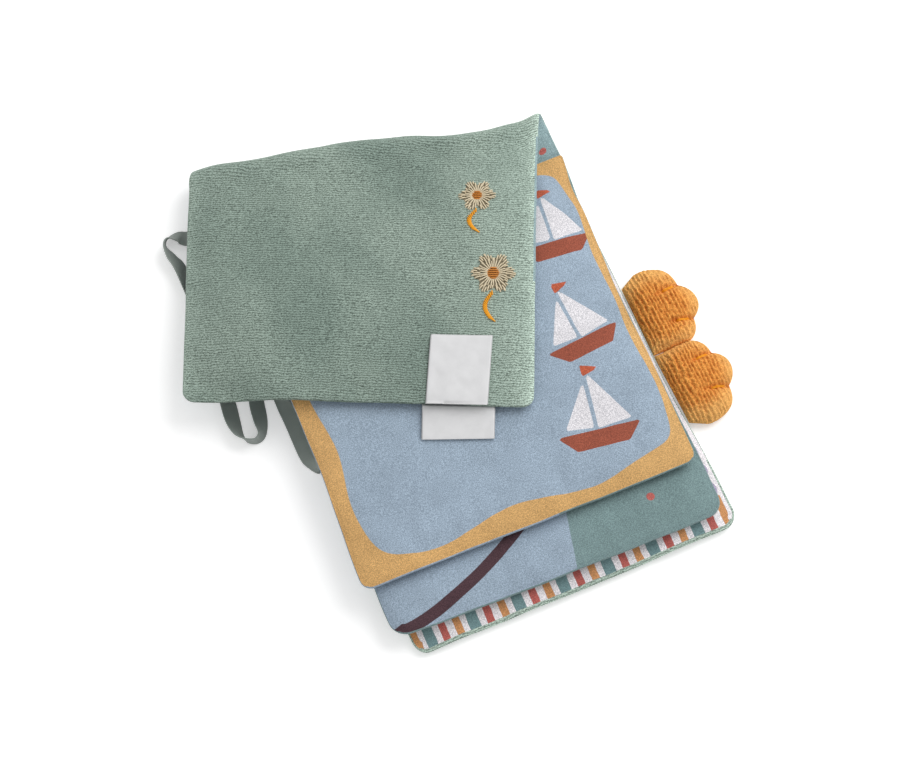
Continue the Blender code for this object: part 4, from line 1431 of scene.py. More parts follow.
class Foot:
    """A plush foot with three toes, sewn to the front cover's right side."""

    def __init__(self, middle, outward):
        self.outward = outward
        first = front_right(middle - FOOT_PITCH / 2)
        second = front_right(middle + FOOT_PITCH / 2)
        self.along = (second - first).normalized()
        self.out = Vector((self.along.y, -self.along.x))
        self.root = (first + second) / 2 + self.out * CLEARANCE
        self.seed = middle / FOOT_PITCH
        self.meeting = FOOT_PITCH / 2 - CLEARANCE

    def world(self, x, y):
        return self.root + self.out * x + self.along * y

    def outline(self, angle):
        """A place of the foot's edge, its three toes round and notched between."""
        notch = 1 - abs(cos(pi * angle / (2 * TOE_SPREAD))) if abs(angle) < 2 * TOE_SPREAD else 0
        centre = FOOT_LENGTH * FOOT_CENTRE_SHARE
        radius = (FOOT_LENGTH - centre) * (1 - TOE_LOBE_SHARE * notch)
        wide = FOOT_WIDTH / 2 / (FOOT_LENGTH - centre)
        y = radius * wide * sin(angle)
        if angle * self.outward > 0:
            y *= OUTER_TOE_SHARE
        else:
            y = max(-self.meeting, min(self.meeting, y))
        return centre + radius * cos(angle), y

    def plan(self, s, t):
        """A place of the foot, out from its root and along it."""
        half = FOOT_ROOT_SHARE * FOOT_WIDTH / 2
        toe_x, toe_y = self.outline(FOOT_SWEEP * s)
        share = (t + 1) / 2
        return toe_x * share, half * s * (1 - share) + toe_y * share

    def crease(self, s, t):
        """Pulled-in lines between the toes, deepest over their stitches."""
        depth = 0.0
        for way in (1, -1):
            fan = 1 - TOE_CREASE_SPREAD_SHARE * (1 - t)
            across = abs(s - way * TOE_SPREAD / FOOT_SWEEP) * FOOT_WIDTH * fan
            along = smooth((t - TOE_CREASE_FROM) / TOE_CREASE_RUN)
            depth += along * exp(-((across / TOE_CREASE_WIDTH) ** 2))
        return TOE_CREASE_DEPTH * depth

    def pile(self, x, y):
        """Ribs across the foot, broken up by the tufts of the terry."""
        spot = Vector((x / RIB_DRIFT_ACROSS, y / RIB_DRIFT_ALONG, self.seed))
        drift = noise.noise(spot) * RIB_DRIFT
        rib = 0.5 + 0.5 * cos(2 * pi * (x + drift) / RIB_PITCH)
        spot = Vector((x / LOOP_SIZE, y / (LOOP_SIZE * LOOP_STRETCH), self.seed))
        tufts = noise.noise(spot) + LOOP_FINE_SHARE * noise.noise(spot * LOOP_FINE_TURNS)
        return RIB_DEPTH * (rib - 1) + LOOP_DEPTH * tufts

    def tip(self, x, y):
        """From 0 on the foot's body to 1 at the ends of its toes."""
        centre = FOOT_LENGTH * FOOT_CENTRE_SHARE
        away = hypot(x - centre, y * 2 * (FOOT_LENGTH - centre) / FOOT_WIDTH)
        return smooth((away / (FOOT_LENGTH - centre) - TIP_FROM) / (1 - TIP_FROM))

    def faces(self, s, t):
        x, y = self.plan(s, t)
        side = FOOT_WIDTH / 2 * (1 - abs(s))
        end = FOOT_LENGTH * (1 - abs(t)) / 2
        full = crown(side, FOOT_CROWN_REACH) * crown(end, FOOT_CROWN_REACH)
        rim = sqrt(1 - (1 - min(min(side, end) / SEAM_ROUND, 1.0)) ** 2)
        low = SEAM_HEIGHT * (1 - full)
        high = (SEAM_HEIGHT + SEAM_THICKNESS) * (1 - full) + FOOT_THICKNESS * full
        middle = (low + high) / 2
        pile = self.pile(x, y)
        lower = middle - (middle - low) * rim - pile * rim * UNDER_PILE_SHARE
        upper = middle + (high - middle - self.crease(s, t)) * rim + pile * rim
        at = self.world(x, y)
        return Vector((at.x, at.y, lower)), Vector((at.x, at.y, upper))


def plush_foot(number, middle):
    foot = Foot(middle, 1 if number == 1 else -1)
    columns = spread(FOOT_COLUMNS)
    rows = [ease(value) for value in spread(FOOT_ROWS)]
    made, plans = closed_shell(f"foot_{number}_plush", columns, rows, foot.faces, foot.plan)
    mark(made, "pile", [foot.pile(x, y) / (RIB_DEPTH + LOOP_DEPTH) for x, y in plans])
    mark(made, "tip", [foot.tip(x, y) for x, y in plans])
    dress(made, TERRY, TERRY)
    tree = surface_of(made)
    stitches = []
    for stitch, way in enumerate((1, -1), 1):
        stitches.append(toe_stitch(f"foot_{number}_toe_stitch_{stitch}", foot, way, tree))
    return made, stitches


def toe_stitch(node, foot, way, tree):
    """Strands of thick thread pulled over the plush between two toes."""
    lines = []
    for strand in range(TOE_STITCH_STRANDS):
        points = []
        shift = (strand - (TOE_STITCH_STRANDS - 1) / 2) * TOE_STITCH_WIDTH / TOE_STITCH_STRANDS
        for index in range(TOE_STITCH_STEPS + 1):
            share = index / TOE_STITCH_STEPS
            grid_t = TOE_STITCH_INNER_SHARE + TOE_STITCH_LONG_SHARE * share
            s = way * TOE_SPREAD / FOOT_SWEEP + shift / FOOT_WIDTH * 2
            at = foot.world(*foot.plan(s, grid_t))
            hit = tree.ray_cast(Vector((at.x, at.y, ABOVE_ALL)), -UP)[0]
            high = (hit.z if hit else FOOT_THICKNESS) + 2 * TOE_STITCH_RADIUS
            dip = TOE_STITCH_DIP * (2 * share - 1) ** TOE_STITCH_FLATNESS
            points.append(Vector((at.x, at.y, high - dip)))
        lines.append(smoothed(points))
    return laid_threads(f"{node}_thread", lines, TOE_STITCH_RADIUS, YELLOW_THREAD)


def smoothed(points):
    """Evens out a line of points twice, its ends kept."""
    for _ in range(2):
        inner = [(a + 2 * b + c) / 4 for a, b, c in zip(points, points[1:], points[2:])]
        points = [points[0], *inner, points[-1]]
    return points


def thread_nodes():
    """Geometry Nodes that give every line of a mesh a round thread."""
    tree = bpy.data.node_groups.new("laid_threads", "GeometryNodeTree")
    sockets = {}
    for name, way, kind in (
        ("Lines", "INPUT", "NodeSocketGeometry"),
        ("Thread Radius", "INPUT", "NodeSocketFloat"),
        ("Thread Sides", "INPUT", "NodeSocketInt"),
        ("Thread Finish", "INPUT", "NodeSocketMaterial"),
        ("Threads", "OUTPUT", "NodeSocketGeometry"),
    ):
        sockets[name] = tree.interface.new_socket(name, in_out=way, socket_type=kind).identifier
    given = tree.nodes.new("NodeGroupInput")
    curve = tree.nodes.new("GeometryNodeMeshToCurve")
    ring = tree.nodes.new("GeometryNodeCurvePrimitiveCircle")
    tubes = tree.nodes.new("GeometryNodeCurveToMesh")
    tubes.inputs["Fill Caps"].default_value = True
    smooth_shade = tree.nodes.new("GeometryNodeSetShadeSmooth")
    real = tree.nodes.new("GeometryNodeRealizeInstances")
    finish = tree.nodes.new("GeometryNodeSetMaterial")
    result = tree.nodes.new("NodeGroupOutput")
    for source, target in (
        (given.outputs["Lines"], curve.inputs["Mesh"]),
        (given.outputs["Thread Radius"], ring.inputs["Radius"]),
        (given.outputs["Thread Sides"], ring.inputs["Resolution"]),
        (curve.outputs["Curve"], tubes.inputs["Curve"]),
        (ring.outputs["Curve"], tubes.inputs["Profile Curve"]),
        (tubes.outputs["Mesh"], smooth_shade.inputs[0]),
        (smooth_shade.outputs[0], real.inputs[0]),
        (real.outputs[0], finish.inputs["Geometry"]),
        (given.outputs["Thread Finish"], finish.inputs["Material"]),
        (finish.outputs[0], result.inputs["Threads"]),
    ):
        tree.links.new(source, target)
    return tree, sockets


def laid_threads(name, lines, radius, finish, base=None):
    """Round threads along lines of points, as one mesh, on a base patch if there is one."""
    vertices = []
    edges = []
    for line in lines:
        first = len(vertices)
        vertices += line
        edges += [(first + index, first + index + 1) for index in range(len(line) - 1)]
    mesh = bpy.data.meshes.new(name)
    mesh.from_pydata(vertices, edges, [])
    carrier = placed(name, mesh)
    tree, sockets = THREAD_NODES
    modifier = carrier.modifiers.new("threads", "NODES")
    modifier.node_group = tree
    modifier[sockets["Thread Radius"]] = radius
    modifier[sockets["Thread Sides"]] = THREAD_SIDES
    modifier[sockets["Thread Finish"]] = finish
    laid = carrier.evaluated_get(bpy.context.evaluated_depsgraph_get())
    threads = bpy.data.meshes.new_from_object(laid)
    bpy.data.objects.remove(carrier)
    shape = bmesh.new()
    shape.from_mesh(threads)
    bmesh.ops.recalc_face_normals(shape, faces=shape.faces)
    for face in shape.faces:
        face.material_index = 0
    above = len(shape.faces)
    if base is not None:
        shape.from_mesh(base.data)
        shape.faces.ensure_lookup_table()
        for face in shape.faces[above:]:
            face.material_index = 1
        bpy.data.objects.remove(base)
    mesh = bpy.data.meshes.new(name)
    shape.to_mesh(mesh)
    shape.free()
    mesh.shade_smooth()
    made = placed(name, mesh)
    # A base patch takes the dark bed finish: painted shade between the stitches
    dress(made, finish, *([PAINTED_SHADE_BED] if base is not None else []))
    return made


def ribbon_route():
    """Places and rolls of the ribbon's middle line, from seam to seam."""
    places = []
    for out, along, up, roll in RIBBON_ROUTE_SHARES:
        x = -COVER_WIDTH / 2 - out * COVER_WIDTH
        places.append((x, along * COVER_LENGTH, up * RIBBON_WIDTH, roll * pi / 2))
    ends = []
    for along in RIBBON_ROOT_SHARES:
        y = along * COVER_LENGTH
        x = spine_centre(y) - COVER_WIDTH / 2 - CLEARANCE
        for out in (2 * CLEARANCE, RIBBON_RUN_OUT):
            ends.append((x - out, y, SEAM_HEIGHT + SEAM_THICKNESS / 2, 0.0))
    places = [*ends[:2], *places, ends[3], ends[2]]
    return [Vector((*place[:3], place[3])) for place in places]


def ribbon_lengths(places, rows):
    """How far along the ribbon each of its rows lies."""
    lengths = {}
    run = 0.0
    last = along_curve(places, 0.0)
    for t in rows:
        at = along_curve(places, (t + 1) / 2)
        run += (at - last).to_3d().length
        lengths[t] = run
        last = at
    return lengths


def ribbon():
    """A satin ribbon that stands and rolls along its route, thicker at its selvedges."""
    places = ribbon_route()
    step = 1 / (4 * RIBBON_STEPS)
    columns = sorted({way * share for way in (-1, 1) for share in (0.0, *RIBBON_HALF_SHARES)})
    rows = spread(RIBBON_STEPS)
    lengths = ribbon_lengths(places, rows)

    def faces_at(s, t):
        share = (t + 1) / 2
        at = along_curve(places, share)
        heading = along_curve(places, share + step) - along_curve(places, share - step)
        side = Vector((-heading.y, heading.x, 0.0)).normalized()
        across = side * cos(at.w) + UP * sin(at.w)
        out = across.cross(heading.to_3d()).normalized()
        middle = at.to_3d() + across * RIBBON_WIDTH / 2 * s
        edge = RIBBON_SELVEDGE_THICKER if abs(s) > RIBBON_SELVEDGE_SHARE else 1.0
        half = out * RIBBON_THICKNESS / 2 * edge
        return middle - half, middle + half

    def plan_at(s, t):
        return s * RIBBON_WIDTH / 2, lengths[t]

    made = closed_shell("ribbon_loop", columns, rows, faces_at, plan_at)[0]
    dress(made, RIBBON_SATIN, RIBBON_SATIN)
    return made


def care_label(tree):
    """A satin label lying on the velour, its corners a little raised."""

    def faces_at(s, t):
        out = (t + 1) / 2
        lean = CARE_LABEL_LEAN * (out - CARE_LABEL_EVEN_SHARE)
        x = LABEL_SHIFT + CARE_LABEL_WIDTH / 2 * s + lean
        at = on_velour(tree, x, CARE_LABEL_LENGTH * out)
        curl = LABEL_LIFT * out * out * (1 - LABEL_CURL_SHARE * (1 - s * s))
        bow = LABEL_LIFT * LABEL_BOW_SHARE * sin(pi * out)
        low = at + UP * (LABEL_CLOTH + curl + bow)
        return low, low + UP * LABEL_CLOTH

    def plan_at(s, t):
        return CARE_LABEL_WIDTH / 2 * s, CARE_LABEL_LENGTH * t / 2

    columns, rows = (spread(count) for count in CARE_LABEL_CELLS)
    made = closed_shell("care_label_cloth", columns, rows, faces_at, plan_at)[0]
    dress(made, LABEL_SATIN, LABEL_SATIN)
    return made


def loop_label():
    """A folded label hanging out of the free edge down to the upper leaf."""
    root = STACK_BACK + SEAM_HEIGHT
    tip = STACK_BACK + CLEARANCE / 3 + LABEL_CLOTH
    length = LOOP_LABEL_LENGTH + LABEL_ROOT_INSET

    def middle(t):
        """The cloth's middle line: out along the lower layer, round the fold and back."""
        out = 1 - abs(t)
        apart = LABEL_CLOTH + LOOP_OPEN * sin(pi * min(out, ALMOST_ONE)) ** LOOP_OPEN_POWER
        side = (1 if t > 0 else -1) * apart / 2 * sqrt(1 - out ** LOOP_FOLD_SHARPNESS)
        return Vector((length * out, tip + (root - tip) * (1 - out) ** 2 + side))

    def faces_at(s, t):
        at = middle(t)
        ahead = middle(min(t + SLOPE_STEP, 1.0)) - middle(max(t - SLOPE_STEP, -1.0))
        ahead.normalize()
        across = Vector((-ahead.y, ahead.x)) * LABEL_CLOTH / 2
        x = LABEL_SHIFT - LOOP_LABEL_SHIFT + LOOP_LABEL_WIDTH / 2 * s
        lean = (LOOP_LABEL_SHORT + LOOP_LABEL_LEAN * (s + 1) / 2) * (1 - abs(t))
        found = []
        for place in (at - across, at + across):
            plan = BACK.world(x, LABEL_ROOT_INSET - place.x + lean)
            found.append(Vector((plan.x, plan.y, place.y)))
        return found

    def plan_at(s, t):
        return LOOP_LABEL_WIDTH / 2 * s, LOOP_LABEL_LENGTH * t

    columns, rows = (spread(count) for count in LOOP_LABEL_CELLS)
    rows = [value ** 3 for value in rows]
    made = closed_shell("loop_label_cloth", columns, rows, faces_at, plan_at)[0]
    dress(made, LABEL_SATIN, LABEL_SATIN)
    return made


class Finish:
    """A fabric's nodes, wired into its shader."""

    def __init__(self, name, roughness, sheen=0.0, sheen_tint=WHITE):
        self.made = bpy.data.materials.new(name)
        self.made.use_nodes = True
        self.tree = self.made.node_tree
        self.shader = self.tree.nodes["Principled BSDF"]
        self.set("Roughness", roughness)
        self.set("Specular IOR Level", FABRIC_SPECULAR)
        self.set("Sheen Weight", sheen)
        self.set("Sheen Roughness", SHEEN_ROUGHNESS)
        self.set("Sheen Tint", sheen_tint)
        places = self.add("ShaderNodeTexCoord")
        self.object = places.outputs["Object"]
        self.cloth = places.outputs["UV"]

    def set(self, name, value):
        self.feed(self.shader.inputs[name], value)

    def add(self, kind, settings=None, **inputs):
        node = self.tree.nodes.new(kind)
        for key, value in (settings or {}).items():
            setattr(node, key, value)
        for key, value in inputs.items():
            self.feed(node.inputs[key.replace("_", " ")], value)
        return node

    def feed(self, socket, value):
        if isinstance(value, bpy.types.NodeSocket):
            self.tree.links.new(value, socket)
        elif isinstance(value, tuple) and len(value) == 3 and socket.type == "RGBA":
            socket.default_value = (*value, 1.0)
        else:
            socket.default_value = value

    def sum(self, kind, first, second=0.0, third=0.0):
        node = self.add("ShaderNodeMath", {"operation": kind})
        for socket, value in zip(node.inputs, (first, second, third)):
            self.feed(socket, value)
        return node.outputs[0]

    def grain(self, size, detail=2.0, roughness=0.5, stretch=(1.0, 1.0, 1.0)):
        """Random grain of about this size, from 0 to 1."""
        place = self.add("ShaderNodeMapping", Vector=self.object, Scale=stretch)
        node = self.add(
            "ShaderNodeTexNoise",
            Vector=place.outputs[0],
            Scale=1 / size,
            Detail=detail,
            Roughness=roughness,
        )
        return node.outputs[0]

    def steep(self, value, low, high, to_low=0.0, to_high=1.0):
        """Stretches part of a value's range."""
        node = self.add("ShaderNodeMapRange", {"interpolation_type": "SMOOTHSTEP"}, Value=value)
        for socket, number in zip(node.inputs[1:5], (low, high, to_low, to_high)):
            socket.default_value = number
        return node.outputs[0]

    def mixed(self, share, first, second, kind="MIX"):
        node = self.add("ShaderNodeMix", {"data_type": "RGBA", "blend_type": kind})
        self.feed(node.inputs[0], share)
        self.feed(node.inputs[6], first)
        self.feed(node.inputs[7], second)
        return node.outputs[2]

    def kept(self, name):
        """A number kept at the cloth's corners."""
        node = self.add("ShaderNodeAttribute", {"attribute_name": name})
        return node.outputs["Fac"]

    def plan(self):
        """A place of the cloth's own plan: across it and along it."""
        node = self.add("ShaderNodeSeparateXYZ", Vector=self.cloth)
        return node.outputs[0], node.outputs[1]

    def shape(self, name):
        """1 inside a printed shape, 0 outside, with a soft edge."""
        edge = self.sum("ADD", self.kept(name), self.bleed())
        return self.steep(edge, -PRINT_SOFTNESS, PRINT_SOFTNESS)

    def distance(self, place, x, y):
        node = self.add("ShaderNodeVectorMath", {"operation": "DISTANCE"})
        self.feed(node.inputs[0], place)
        node.inputs[1].default_value = (x, y, 0.0)
        return node.outputs["Value"]

    def spots(self, distances, radius):
        """1 within a radius of the nearest place, 0 beyond, with a printed edge."""
        nearest = 1.0
        for away in distances:
            nearest = self.sum("MINIMUM", away, nearest)
        return self.steep(self.sum("ADD", nearest, self.bleed()), radius, radius - PRINT_EDGE)

    def dots(self, points, radius):
        """1 inside round dots at places of the cloth's plan."""
        return self.spots([self.distance(self.cloth, x, y) for x, y in points], radius)

    def repeated_dots(self, pitch, radius, shifts):
        """1 inside dots on square grids, each grid shifted by shares of the pitch."""
        distances = []
        for shift in shifts:
            place = self.add("ShaderNodeMapping", Vector=self.cloth, Location=(*shift, 0.0))
            place.inputs["Scale"].default_value = (1 / pitch, 1 / pitch, 0.0)
            local = self.add("ShaderNodeVectorMath", {"operation": "FRACTION"})
            self.feed(local.inputs[0], place.outputs[0])
            away = self.distance(local.outputs[0], 1 / 2, 1 / 2)
            distances.append(self.sum("MULTIPLY", away, pitch))
        return self.spots(distances, radius)

    def bleed(self):
        """The print's edge runs a little into the cloth."""
        grain = self.grain(PRINT_BLEED_GRAIN)
        return self.sum("MULTIPLY_ADD", grain, PRINT_BLEED, -PRINT_BLEED / 2)

    def coloured(self, base):
        self.set("Base Color", base)

    def shaded(self, base, shades, grain, part):
        """A colour with the shades of a part of a grain's range laid over it."""
        return self.mixed(1.0, base, self.mixed(self.steep(grain, *part), *shades), "MULTIPLY")

    def raised(self, height, distance, strength=1.0, below=None):
        node = self.add("ShaderNodeBump", Height=height, Distance=distance, Strength=strength)
        if below is not None:
            self.tree.links.new(below, node.inputs["Normal"])
        self.tree.links.new(node.outputs[0], self.shader.inputs["Normal"])
        return node.outputs[0]


def velour(name="sage_velour_pile", painted_light_share=None):
    """Short cut pile: fine tufts in faint rows, soft darker and lighter nap patches at random,
    and painted light along the side seams and towards the right side.
    """
    made = Finish(name, roughness=1.0, sheen=0.5, sheen_tint=SAGE_PALE)
    nap = made.steep(made.grain(NAP_SIZE, detail=1.5, stretch=NAP_STRETCH), *NAP_RANGE)
    brushed = made.mixed(nap, SAGE_DEEP, SAGE)
    # Painted light: the nap is mixed towards pale sage along the side seams and towards the
    # right side, or evenly on the front cover's lit copy
    brushed = made.mixed(painted_light_share or made.kept("brushed"), brushed, SAGE_PALE)
    # Painted rim highlight: paler where the surface turns away from the view
    rim = made.add("ShaderNodeLayerWeight", Blend=0.5).outputs["Facing"]
    brushed = made.mixed(made.steep(rim, PAINTED_RIM_FROM, 1.0, 0.0, PAINTED_RIM_SHARE), brushed, PAINTED_RIM_HIGHLIGHT)
    tufts = made.grain(TUFT_SIZE, detail=1.5, roughness=0.6, stretch=TUFT_STRETCH)
    drift = made.grain(PILE_ROW_DRIFT_SIZE)
    along = made.sum("MULTIPLY_ADD", drift, PILE_ROW_DRIFT, made.plan()[1])
    rows = made.sum("SINE", made.sum("MULTIPLY", along, 2 * pi / PILE_ROW_PITCH))
    pile = made.sum("MULTIPLY_ADD", rows, PILE_ROW_SHARE, tufts)
    made.coloured(made.shaded(brushed, TUFT_SHADES, pile, TUFT_RANGE))
    low = made.raised(made.grain(PILE_HILL_SIZE), PILE_HILL_HEIGHT, strength=0.4)
    made.raised(pile, TUFT_HEIGHT, strength=0.7, below=low)
    return made.made


def knit(name, paint):
    """Brushed printed knit: a fine crossed grain, a little fuzz, and its print."""
    made = Finish(name, roughness=0.95, sheen=0.25)
    crossed = made.grain(KNIT_GRAIN, detail=1.5, roughness=0.6, stretch=KNIT_STRETCH)
    base = made.shaded(paint(made), KNIT_SHADES, crossed, KNIT_RANGE)
    made.coloured(made.shaded(base, KNIT_CLOUD_SHADES, made.grain(KNIT_CLOUD), CLOUD_RANGE))
    made.raised(crossed, KNIT_HEIGHT, strength=0.7)
    return made.made


def stripes(made):
    """Crosswise stripes, then a white margin with thin wavy lines."""
    x, y = made.plan()
    grain = made.grain(STRIPE_WAVER_GRAIN)
    waver = made.sum("MULTIPLY_ADD", grain, STRIPE_WAVER, -STRIPE_WAVER / 2)
    run = made.sum("ADD", made.sum("SUBTRACT", x, STRIPE_START), waver)
    share = made.sum("FRACT", made.sum("DIVIDE", run, STRIPE_PERIOD))
    ramp = made.add("ShaderNodeValToRGB", Fac=share)
    ramp.color_ramp.interpolation = "CONSTANT"
    stops = ramp.color_ramp.elements
    for index, (at, tone) in enumerate(STRIPE_STOPS):
        stop = stops[index] if index < len(stops) else stops.new(at)
        stop.position = at
        stop.color = (*tone, 1.0)
    turn = made.sum("MULTIPLY", y, 2 * pi / LILAC_PITCH)
    swing = made.sum("MULTIPLY", made.sum("SINE", turn), LILAC_SWING)
    out = made.sum("SUBTRACT", x, LILAC_LINE)
    first = made.sum("ABSOLUTE", made.sum("SUBTRACT", out, swing))
    second = made.sum("ABSOLUTE", made.sum("ADD", out, swing))
    away = made.sum("MINIMUM", first, second)
    line = made.steep(away, LILAC_SOLID, LILAC_GONE, 1.0, 0.0)
    margin = made.mixed(line, PRINT_WHITE, LILAC)
    beyond = made.steep(x, STRIPES_END, STRIPES_END + STRIPES_MEET)
    above = made.steep(y, STRIPED_CORNER, STRIPED_CORNER + STRIPES_MEET)
    return made.mixed(made.sum("MULTIPLY", beyond, above), ramp.outputs[0], margin)


def plain(tone):
    return lambda made: made.mixed(0.0, tone, tone)


def dotted(made):
    spots = made.repeated_dots(LINING_DOT_PITCH, DOT_RADIUS, LINING_DOT_SHIFTS)
    return made.mixed(spots, LINING_TEAL, STRIPE_RED)


def boats(made):
    """Small sailing boats on pale blue inside a wavy sand border."""
    base = made.mixed(made.shape("sails"), SKY, SAIL_WHITE)
    base = made.mixed(made.shape("hulls"), base, RUST)
    base = made.mixed(made.shape("pennants"), base, PENNANT)
    return made.mixed(made.shape("field"), SAND, base)


def blue_and_teal(made):
    return made.mixed(made.shape("teal"), SKY, TEAL)


def path(made):
    base = made.mixed(made.shape("teal"), SKY, TEAL)
    base = made.mixed(made.dots(DOTS, DOT_RADIUS), base, STRIPE_RED)
    return made.mixed(made.shape("path"), base, PLUM)


def terry():
    """Ribbed loop pile, with painted shade down between the loops."""
    made = Finish("orange_terry_loops", roughness=1.0, sheen=0.35, sheen_tint=PLUSH)
    height = made.kept("pile")
    # Painted shade: the pile's low places are darker
    base = made.mixed(made.steep(height, *TERRY_PILE_RANGE), PLUSH_GROOVE_SHADE, PLUSH)
    base = made.mixed(made.sum("MULTIPLY", made.kept("tip"), TIP_PALER), base, PLUSH_PALE)
    loops = made.grain(TERRY_GRAIN, roughness=0.6)
    made.coloured(made.shaded(base, TERRY_SHADES, loops, TERRY_RANGE))
    made.raised(loops, TERRY_HEIGHT, strength=0.9)
    return made.made


def satin(name, tone, across_pitch, roughness, sheen=0.1):
    """Close woven satin: fine ribs along its length, crossed by fainter ones."""
    made = Finish(name, roughness, sheen)
    across, along = made.plan()
    along_pitch = across_pitch * SATIN_ROW_SHARE
    ribs = made.sum("SINE", made.sum("MULTIPLY", across, 2 * pi / across_pitch))
    rows = made.sum("SINE", made.sum("MULTIPLY", along, 2 * pi / along_pitch))
    weave = made.sum("MULTIPLY_ADD", rows, 0.5, ribs)
    dim = tuple(value * SATIN_SHADE for value in tone)
    base = made.mixed(made.steep(made.grain(SATIN_CLOUD), *CLOUD_RANGE), dim, tone)
    made.coloured(made.shaded(base, SATIN_SHADES, weave, WEAVE_RANGE))
    made.raised(weave, SATIN_HEIGHT, strength=0.6)
    return made.made


def thread(name, tone):
    """Glossy embroidery thread, darker at random along its fibres; the bed under the stitches
    takes it with a dark colour, as painted shade between the stitches.
    """
    made = Finish(name, roughness=0.45, sheen=0.2, sheen_tint=tone)
    fibres = made.grain(THREAD_FIBRE)
    dark = tuple(value * THREAD_SHADE for value in tone)
    made.coloured(made.mixed(made.steep(fibres, *FIBRE_RANGE), dark, tone))
    made.raised(fibres, THREAD_HEIGHT, strength=0.7)
    return made.made


def floor_finish():
    """A pale floor that keeps the shadow and glows a little for the camera alone."""
    made = Finish("pale_floor", roughness=1.0)
    made.coloured(FLOOR)
    made.set("Specular IOR Level", 0.0)
    seen = made.add("ShaderNodeLightPath").outputs["Is Camera Ray"]
    made.set("Emission Color", WHITE)
    made.set("Emission Strength", made.sum("MULTIPLY", seen, FLOOR_GLOW))
    return made.made


def studio():
    """A pale floor, a soft room and one softbox above."""
    bpy.ops.mesh.primitive_plane_add(size=FLOOR_SIZE, location=-UP * FLOOR_DROP)
    floor = bpy.context.object
    floor.name = "floor"
    floor.data.materials.append(floor_finish())
    world = bpy.data.worlds.new("soft_room")
    world.use_nodes = True
    background = world.node_tree.nodes["Background"]
    background.inputs["Color"].default_value = (*WHITE, 1.0)
    background.inputs["Strength"].default_value = ROOM_STRENGTH
    bpy.context.scene.world = world
    lamp = bpy.data.lights.new("softbox", "AREA")
    lamp.shape = "DISK"
    lamp.size = SOFTBOX_SIZE
    lamp.energy = SOFTBOX_POWER
    softbox = placed("softbox", lamp)
    softbox.location = SOFTBOX_AT
    softbox.rotation_euler = (-Vector(SOFTBOX_AT)).to_track_quat("-Z", "Y").to_euler()
    bpy.context.scene.view_settings.view_transform = "Standard"


def camera():
    """A camera where the photograph was taken."""
    looking = Vector((
        -sin(CAMERA_AZIMUTH) * cos(CAMERA_HEIGHT),
        cos(CAMERA_AZIMUTH) * cos(CAMERA_HEIGHT),
        -sin(CAMERA_HEIGHT),
    ))
    data = bpy.data.cameras.new("camera")
    data.lens = CAMERA_LENS
    data.sensor_width = CAMERA_SENSOR
    data.clip_start = CAMERA_CLIP
    made = placed("camera", data)
    made.location = CAMERA_TARGET - looking * CAMERA_AWAY
    made.rotation_euler = looking.to_track_quat("-Z", "Y").to_euler()
    bpy.context.scene.camera = made


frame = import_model()

FOLD_RIGHT = Vector((
    FRONT_LEAN + SPINE_LEAN + COVER_WIDTH / 2,
    SPINE_EDGE + FOLD_FROM_SPINE - COVER_WIDTH * tan(FOLD_SKEW) / 2,
))
FRONT = Pad(
    COVER_WIDTH, COVER_THICKNESS, flat_base,
    free_edge(FRONT_REACH, FRONT_SLANT, FRONT_BOW, COVER_WIDTH, -COVER_LENGTH / 2),
    lambda x: COVER_LENGTH / 2 - CLEARANCE / 2,
    front_centre,
)
FRONT.corner = FRONT_CORNER_RADIUS
FRONT.right_tuck = front_tuck
FRONT.left_tuck = front_left_tuck
FRONT.left_tuck_power = FRONT_LEFT_TUCK_POWER
SPINE = Pad(
    COVER_WIDTH, SPINE_THICKNESS, flat_base,
    lambda x: SPINE_EDGE + CLEARANCE / 2,
    lambda x: fold_y(x + FRONT_LEAN + SPINE_LEAN),
    spine_centre,
)
SPINE.closed_end = False
SPINE.right_tuck = spine_tuck
SPINE.seed = SPINE_SEED
SPINE.wave = SPINE_WAVE
BACK = Pad(
    COVER_WIDTH, BACK_THICKNESS, back_base,
    lambda x: 0.0,
    lambda x: BACK_COVER_RIGHT_LENGTH - tan(FOLD_SKEW) * (COVER_WIDTH / 2 - x),
    turn=-2 * FOLD_SKEW,
)
BACK.closed_end = False
BACK.at = FOLD_RIGHT - BACK.turn @ Vector((COVER_WIDTH / 2, BACK_COVER_RIGHT_LENGTH))
BACK.at.x += FOLD_SHIFT
BACK.seed = BACK_SEED
BACK.wraps_over = False
BACK.pucker = BACK_PUCKER_DEPTH
LEAF_1 = Pad(
    LEAF_WIDTH, LEAF_THICKNESS, leaf_1_base,
    free_edge(
        LEAF_1_REACH, LEAF_1_SLANT, LEAF_1_BOW, LEAF_WIDTH,
        SPINE_EDGE + LEAF_1_SEAM - LEAF_LENGTH,
    ),
    lambda x: SPINE_EDGE + LEAF_1_SEAM,
    lambda y: LEAF_1_SHIFT + LEAF_1_LEAN * (y / COVER_LENGTH + 1 / 2),
)
LEAF_1.seed = LEAF_1_SEED
LEAF_1.corner = LEAF_1_CORNER_RADIUS
LEAF_1.left_tuck = leaf_1_tuck
LEAF_2 = Pad(
    LEAF_WIDTH, LEAF_THICKNESS, leaf_2_base,
    lambda x: SPINE_EDGE + LEAF_2_SEAM - LEAF_LENGTH,
    lambda x: SPINE_EDGE + LEAF_2_SEAM,
    lambda y: LEAF_2_SHIFT,
)
LEAF_2.left_tuck = leaf_2_tuck
LEAF_2.right_tuck = leaf_2_side
LEAF_2.corner = LEAF_2_CORNER_RADIUS
LEAF_2.end_corner = SEWN_CORNER_RADIUS
LEAF_2.seed = LEAF_2_SEED

